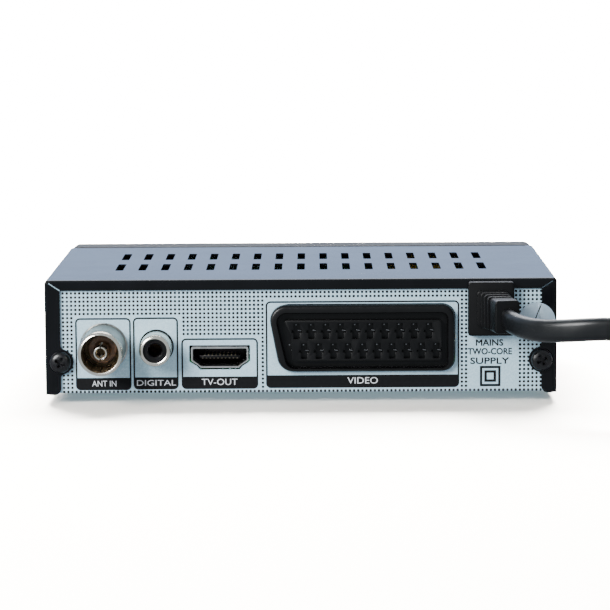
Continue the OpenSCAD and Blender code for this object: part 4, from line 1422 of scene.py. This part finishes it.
def relief_level(i, width, height, near, far, radius=0.9):
    """Rings of one step of the neck: i counts outwards, near and far run along the leaning axis."""
    turn = Matrix.Rotation(math.radians(2.6 * i), 3, "Z")
    start = Vector((RELIEF_X - 0.3 - 0.5 * i, RELIEF_BACK + 2.4 + 1.75 * i, RELIEF_Z - 0.14 * i))
    outline = box_outline(0, 0, width, height, radius, 6)
    return [[start + turn @ p for p in at_y(outline, y)] for y in (near, far)]


def relief_outline(half, low, high):
    """A block of the relief behind its plate, as wide each side of its middle."""
    left, right = RELIEF_X - half, RELIEF_X + half
    return rounded([(left, low), (right, low), (right, high), (left, high)], [0.6] * 4)


def strain_relief():
    def plate(mesh):
        outline = box_outline(RELIEF_X, RELIEF_Z - 0.1, 11.9, 14.0, 0.7)
        prism_y(mesh, outline, RELIEF_BACK, RELIEF_BACK + 2.5)

    made = shape("strain_relief", plate)
    ease(made, 0.3, 3)

    def neck(mesh):
        top = roof_z - TOP_EDGE - 0.2
        prism_y(mesh, relief_outline(4.5, 19.9, top), panel_y - 0.8, RELIEF_BACK + 0.1)
        prism_y(mesh, relief_outline(5.85, 18.25, 30.85), panel_y - 4, panel_y - 0.65)

    made = join(made, shape("neck", neck))

    def core(mesh):
        rings = []
        for i in range(RIBS + 1):
            rings += [relief_level(i, 6.5 - 0.1 * i, 8.3 - 0.05 * i, 0.0, 0.1, 0.8)[0]]
        loft(mesh, [*rings, relief_level(RIBS, 6.2, 8.2, 0, 3, 0.8)[1]])

    made = join(made, shape("core", core))
    for i in range(RIBS):
        levels = relief_level(i, 8.0 - 0.4 * i, 9.6 - 0.3 * i, -0.05, 1.05, 1.0)
        rib = shape("rib", lambda mesh: loft(mesh, levels))
        ease(rib, 0.22, 3)
        made = join(made, rib)
    end = shape("end", lambda mesh: loft(mesh, relief_level(RIBS, 6.4, 8.5, -0.3, 5.8, 0.9)))
    ease(end, 0.35, 3)
    made = join(made, end)
    piece(made, FIRM_PVC, "black_pvc", "cord_strain_relief")


plug_low, plug_high = span("mains_plug_body")
pins_low, pins_high = span("mains_plug_pins")
plug_x = (plug_low.x + plug_high.x) / 2
plug_z = (pins_low.z + pins_high.z) / 2
PIN_SLEEVE = 10
PIN_SPREAD = 9.3  # from the plug's middle to each pin
PLUG_LONG = 36
plug_face = pins_high.y + PIN_SLEEVE


def plug_plan(inset):
    """The plug's outline from above, shrunk about its middle."""
    x, y = plug_x, plug_face + PLUG_LONG
    points = [
        (x - 5, y), (x + 5, y), (x + 6.5, y - 9), (x + 13, y - 20), (x + 13, plug_face), (x - 13, plug_face),
        (x - 13, y - 20), (x - 6.5, y - 9),
    ]
    outline = rounded(points, [1.5, 1.5, 8, 6, 1.5, 1.5, 6, 8])
    middle = Vector((x, y - 20))
    return [middle + (p - middle) * (1 - inset / 13) for p in outline]


def mains_plug():
    low = plug_z - 6.85
    levels = (
        (1.2, 0), (0.5, 0.35), (0.12, 1.0), (0, 2.0), (0, 11.7), (0.12, 12.7), (0.5, 13.35), (1.2, 13.7),
    )
    rings = [at_z(plug_plan(inset), low + z) for inset, z in levels]
    made = shape("plug_body", lambda mesh: loft(mesh, rings))

    def grips(mesh):
        for side in (-1, 1):
            for i in range(5):
                x, y = plug_x + side * 13.35, plug_face + 2.5 + 2.6 * i
                groove_plan = [(x - 0.9, y), (x + 0.9, y), (x + 0.9, y + 1.1), (x - 0.9, y + 1.1)]
                prism_z(mesh, groove_plan, low + 3, low + 10.7)

    cut(made, grips)
    ease(made, 0.2, 2, math.radians(50))

    def sleeves(mesh):
        for side in (-1, 1):
            near, far = plug_face + 0.3, plug_face - PIN_SLEEVE
            profile = [(0.5, near), (2.0, near), (2.0, far), (0.5, far)]
            turned(mesh, plug_x + side * PIN_SPREAD, plug_z, profile, 40, closed=False)

    def boot(mesh):
        y = plug_face + PLUG_LONG
        for i in range(5):
            w, h = 8.8 - 0.6 * i, 9.8 - 0.5 * i
            prism_y(mesh, box_outline(plug_x, plug_z, w, h, 1.6), y + 3 * i - 0.2 * (i == 0), y + 3 * i + 2)
        prism_y(mesh, box_outline(plug_x, plug_z, 5.0, 7.0, 1.7), y - 0.2, y + 14.95)

    ribs = shape("boot", boot)
    ease(ribs, 0.25, 2)
    made = join(made, shape("sleeves", sleeves), ribs)
    piece(made, FIRM_PVC, "black_pvc", "mains_plug_body")

    def pins(mesh):
        for side in (-1, 1):
            y = plug_face
            profile = [
                (2.0, y - 10.05), (2.0, y - 17.2), (1.85, y - 18.1), (1.45, y - 18.7), (0.8, y - 19.0),
            ]
            turned(mesh, plug_x + side * PIN_SPREAD, plug_z, profile, 40, closed=False)

    piece(shape("plug_pins", pins), NICKEL, "nickel_plate", "mains_plug_pins")


def tie():
    low, high = span("coil_tie")

    def band(mesh):
        """A flat strap round the bundle."""
        outer = rounded(
            [(low.x, low.z), (high.x, low.z), (high.x, high.z), (low.x, high.z)], [1.6] * 4, 8
        )
        inner = rounded(
            [
                (low.x + 0.7, low.z + 0.7), (high.x - 0.7, low.z + 0.7),
                (high.x - 0.7, high.z - 0.7), (low.x + 0.7, high.z - 0.7),
            ],
            [1.0] * 4,
            8,
        )
        ring_y(mesh, outer, inner, low.y, high.y)

    made = shape("tie", band)
    ease(made, 0.12, 2)
    piece(made, TIE, "white_tie", "coil_tie")


strain_relief()
LEAD, lead_points = mains_lead()
mains_plug()
tie()


# ---------------------------------------------------------------- front

FACE_T = 2.0
window_low, window_high = span("display_window")
window_z = (window_low.z + window_high.z) / 2
usb_low, usb_high = span("usb_socket_shell")
usb_x, usb_z = (usb_low.x + usb_high.x) / 2, (usb_low.z + usb_high.z) / 2
power_low, power_high = span("power_button")
power_x = (power_low.x + power_high.x) / 2
button_z = (power_low.z + power_high.z) / 2
KEYS = {"channel_down": -43.5, "channel_up": -34.0}
light_x = 32.5
bezel_top = bezel_high.z - 0.25


def bezel():
    middle_z = (case_z + bezel_top) / 2
    w, h = 2 * half_w, bezel_top - case_z
    back = split_y - front_y
    levels = (
        (0.8, 0), (0.45, 0.08), (0.2, 0.24), (0.05, 0.48), (0, 0.8), (0, back - 0.45), (0.06, back - 0.2),
        (0.25, back),
    )

    def shell(mesh):
        rings = []
        for inset, y in levels:
            outline = box_outline(0, middle_z, w - 2 * inset, h - 2 * inset, 2.4 - inset, 8)
            rings.append(at_y(outline, front_y + y))
        loft(mesh, rings)

    made = shape("front", shell)

    def inside(mesh):
        prism_y(mesh, box_outline(0, middle_z, w - 3.2, h - 3.2, 1.0), front_y + FACE_T, split_y + 1)

    def openings(mesh):
        outlines = [
            box_outline(0, window_z, 51, 11, 0.8),
            box_outline(usb_x, usb_z, 13.8, 6.4, 0.6),
            circle(power_x, button_z, 4.4, 64),
            *(box_outline(x, button_z, 7.4, 5.0, 1.4) for x in KEYS.values()),
            circle(light_x, button_z, 1.1, 32),
        ]
        for outline in outlines:
            prism_y(mesh, outline, front_y - 1, front_y + 3)

    cut(made, inside)
    cut(made, lambda mesh: prism_y(mesh, box_outline(0, window_z, 54, 14, 1.5), front_y - 1, front_y + 1.2))
    cut(made, openings)
    ease(made, 0.12, 2, math.radians(50))

    def posts(mesh):
        post = ((0.9, 2.8), (0.9, 7.6), (2.4, 7.6), (2.4, 1.9), (0.9, 1.9))
        for x in (-49.2, 30):
            turned(mesh, x, case_z + 24.2, [(r, front_y + y) for r, y in post], 32)
        block(mesh, (-60, split_y - 0.1, roof_z - 1.8), (60, split_y + 1.3, roof_z - 0.7))
        for s in (-1, 1):
            x0, x1 = sorted((s * (half_w - 3.1), s * (half_w - 1.6)))
            block(mesh, (x0, split_y - 3, case_z + 9), (x1, split_y + 5, case_z + 12))
            x0, x1 = sorted((s * (half_w - 1.7), s * (half_w - 0.9)))
            block(mesh, (x0, split_y + 2.2, case_z + 9), (x1, split_y + 4.2, case_z + 12))

    piece(join(made, shape("posts", posts)), ABS, "black_abs", "front_bezel", flat=True)


def window():
    def pane(mesh):
        prism_y(mesh, box_outline(0, window_z, 53.7, 13.7, 1.4, 8), window_low.y, window_high.y)

    made = shape("window", pane)
    ease(made, 0.25, 3)
    piece(made, ACRYLIC, "smoked_acrylic", "display_window")


def buttons():
    low, high = power_low.y, power_high.y
    collar = front_y + FACE_T + 0.1
    profile = [
        (0.5, low + 0.35), (2.6, low + 0.28), (3.6, low), (3.95, low + 0.08), (4.15, low + 0.3),
        (4.2, low + 0.6), (4.2, collar), (5.1, collar), (5.1, collar + 0.8), (1.6, collar + 0.8),
        (1.6, high), (0.5, high),
    ]
    made = shape("power_key", lambda mesh: turned(mesh, power_x, button_z, profile, 64, closed=False))
    piece(made, LACQUER, "silver_button_plastic", "power_button", body="power_button_body")
    for name, x in KEYS.items():

        def key(mesh):
            levels = ((0.7, low), (0.3, low + 0.08), (0.06, low + 0.3), (0, low + 0.6), (0, collar))
            cap = [
                at_y(box_outline(x, button_z, 7 - 2 * inset, 4.6 - 2 * inset, 1.2, 6), y)
                for inset, y in levels
            ]
            loft(mesh, cap)
            prism_y(mesh, box_outline(x, button_z, 8.4, 6.2, 1.2), collar - 0.02, collar + 0.8)
            stem = [(0.4, collar + 0.75), (1.6, collar + 0.75), (1.6, high), (0.4, high)]
            turned(mesh, x, button_z, stem, 32, closed=False)

        made = shape(name + "_key", key)
        piece(made, LACQUER, "silver_button_plastic", name + "_button", body=name + "_body")


def light():
    low, high = span("standby_light_pipe")
    profile = [
        (0.2, low.y), (0.6, low.y + 0.05), (0.9, low.y + 0.18), (1.0, low.y + 0.4), (1.0, front_y + 2.05),
        (1.6, front_y + 2.05), (1.6, high.y), (0.2, high.y),
    ]
    made = shape("light_pipe", lambda mesh: turned(mesh, light_x, button_z, profile, 40, closed=False))
    piece(made, CLEAR, "clear_plastic", "standby_light_pipe")


def data_socket():
    y0, y1 = usb_low.y, usb_high.y
    outer = box_outline(usb_x, usb_z, 13.1, 5.7, 0.5)
    inner = box_outline(usb_x, usb_z, 12.4, 5.0, 0.3)
    made = shape("data_shell", lambda mesh: prism_y(mesh, outer, y0, y1))
    cut(made, lambda mesh: prism_y(mesh, inner, y0 - 1, y1 - 1))

    def latches(mesh):
        for x in (-3, 3):
            for z in (-2.9, 2.9):
                low = (usb_x + x - 1, y0 + 4, usb_z + z - 0.4)
                high = (usb_x + x + 1, y0 + 7.5, usb_z + z + 0.4)
                block(mesh, low, high)

    cut(made, latches)
    ease(made, 0.08, 2, math.radians(50))
    piece(made, TIN, "tinplate", "usb_socket_shell")
    low, high = span("usb_socket_tongue")

    def tongue(mesh):
        block(mesh, (usb_x - 6.1, y1 - 3, usb_z - 2.4), (usb_x + 6.1, high.y, usb_z + 2.4))
        block(mesh, (usb_x - 5.5, low.y, usb_z + 0.35), (usb_x + 5.5, y1 - 2.9, usb_z + 2.1))

    made = shape("data_tongue", tongue)
    ease(made, 0.15, 2)
    contacts = set_out(
        "data_contacts",
        [Vector((usb_x + x, 0, usb_z + 0.33)) for x in (-3.5, -1, 1, 3.5)],
        lambda mesh: block(mesh, (-0.5, low.y + 0.9, -0.06), (0.5, y1 - 3, 0.06)),
        GOLD,
    )
    piece(join(finished(made, PBT), contacts), None, "black_socket_plastic", "usb_socket_tongue")


bezel()
window()
buttons()
light()
data_socket()


# ---------------------------------------------------------------- what keeps its CAD shape

FINISHES = {
    PANEL: ["base_tray"],
    TIN: ["tuner_can", "crystal", "board_screws", "front_board_screws"],
    PBT: ["tact_switches", "infrared_receiver"],
    # Painted shade: the audio socket's gold contact takes the dark brass, for the shade deep in its hole.
    DULL_BRASS_AND_SHADE: ["rca_center_contact"],
    MASK: ["main_board", "front_board"],
    FERRITE: ["transformer_core"],
    TAPE: ["transformer_winding", "filter_capacitor"],
    SLEEVE: ["bulk_capacitor", "small_capacitors"],
    GLASS: ["mains_fuse"],
    EPOXY: ["bridge_rectifier", "main_chip", "memory_chips"],
    COPPER: ["power_inductors"],
    NYLON: ["mains_header", "power_plunger", "channel_down_plunger", "channel_up_plunger", "digit_display"],
    WIRE: ["mains_wires"],
    BOARD_SHEET: ["insulation_sheet"],
    ALUMINIUM: ["heat_sink"],
    RED: ["standby_led"],
    RIBBON: ["ribbon_cable"],
}
for finish, names in FINISHES.items():
    for name in names:
        finished(nodes[name], finish)
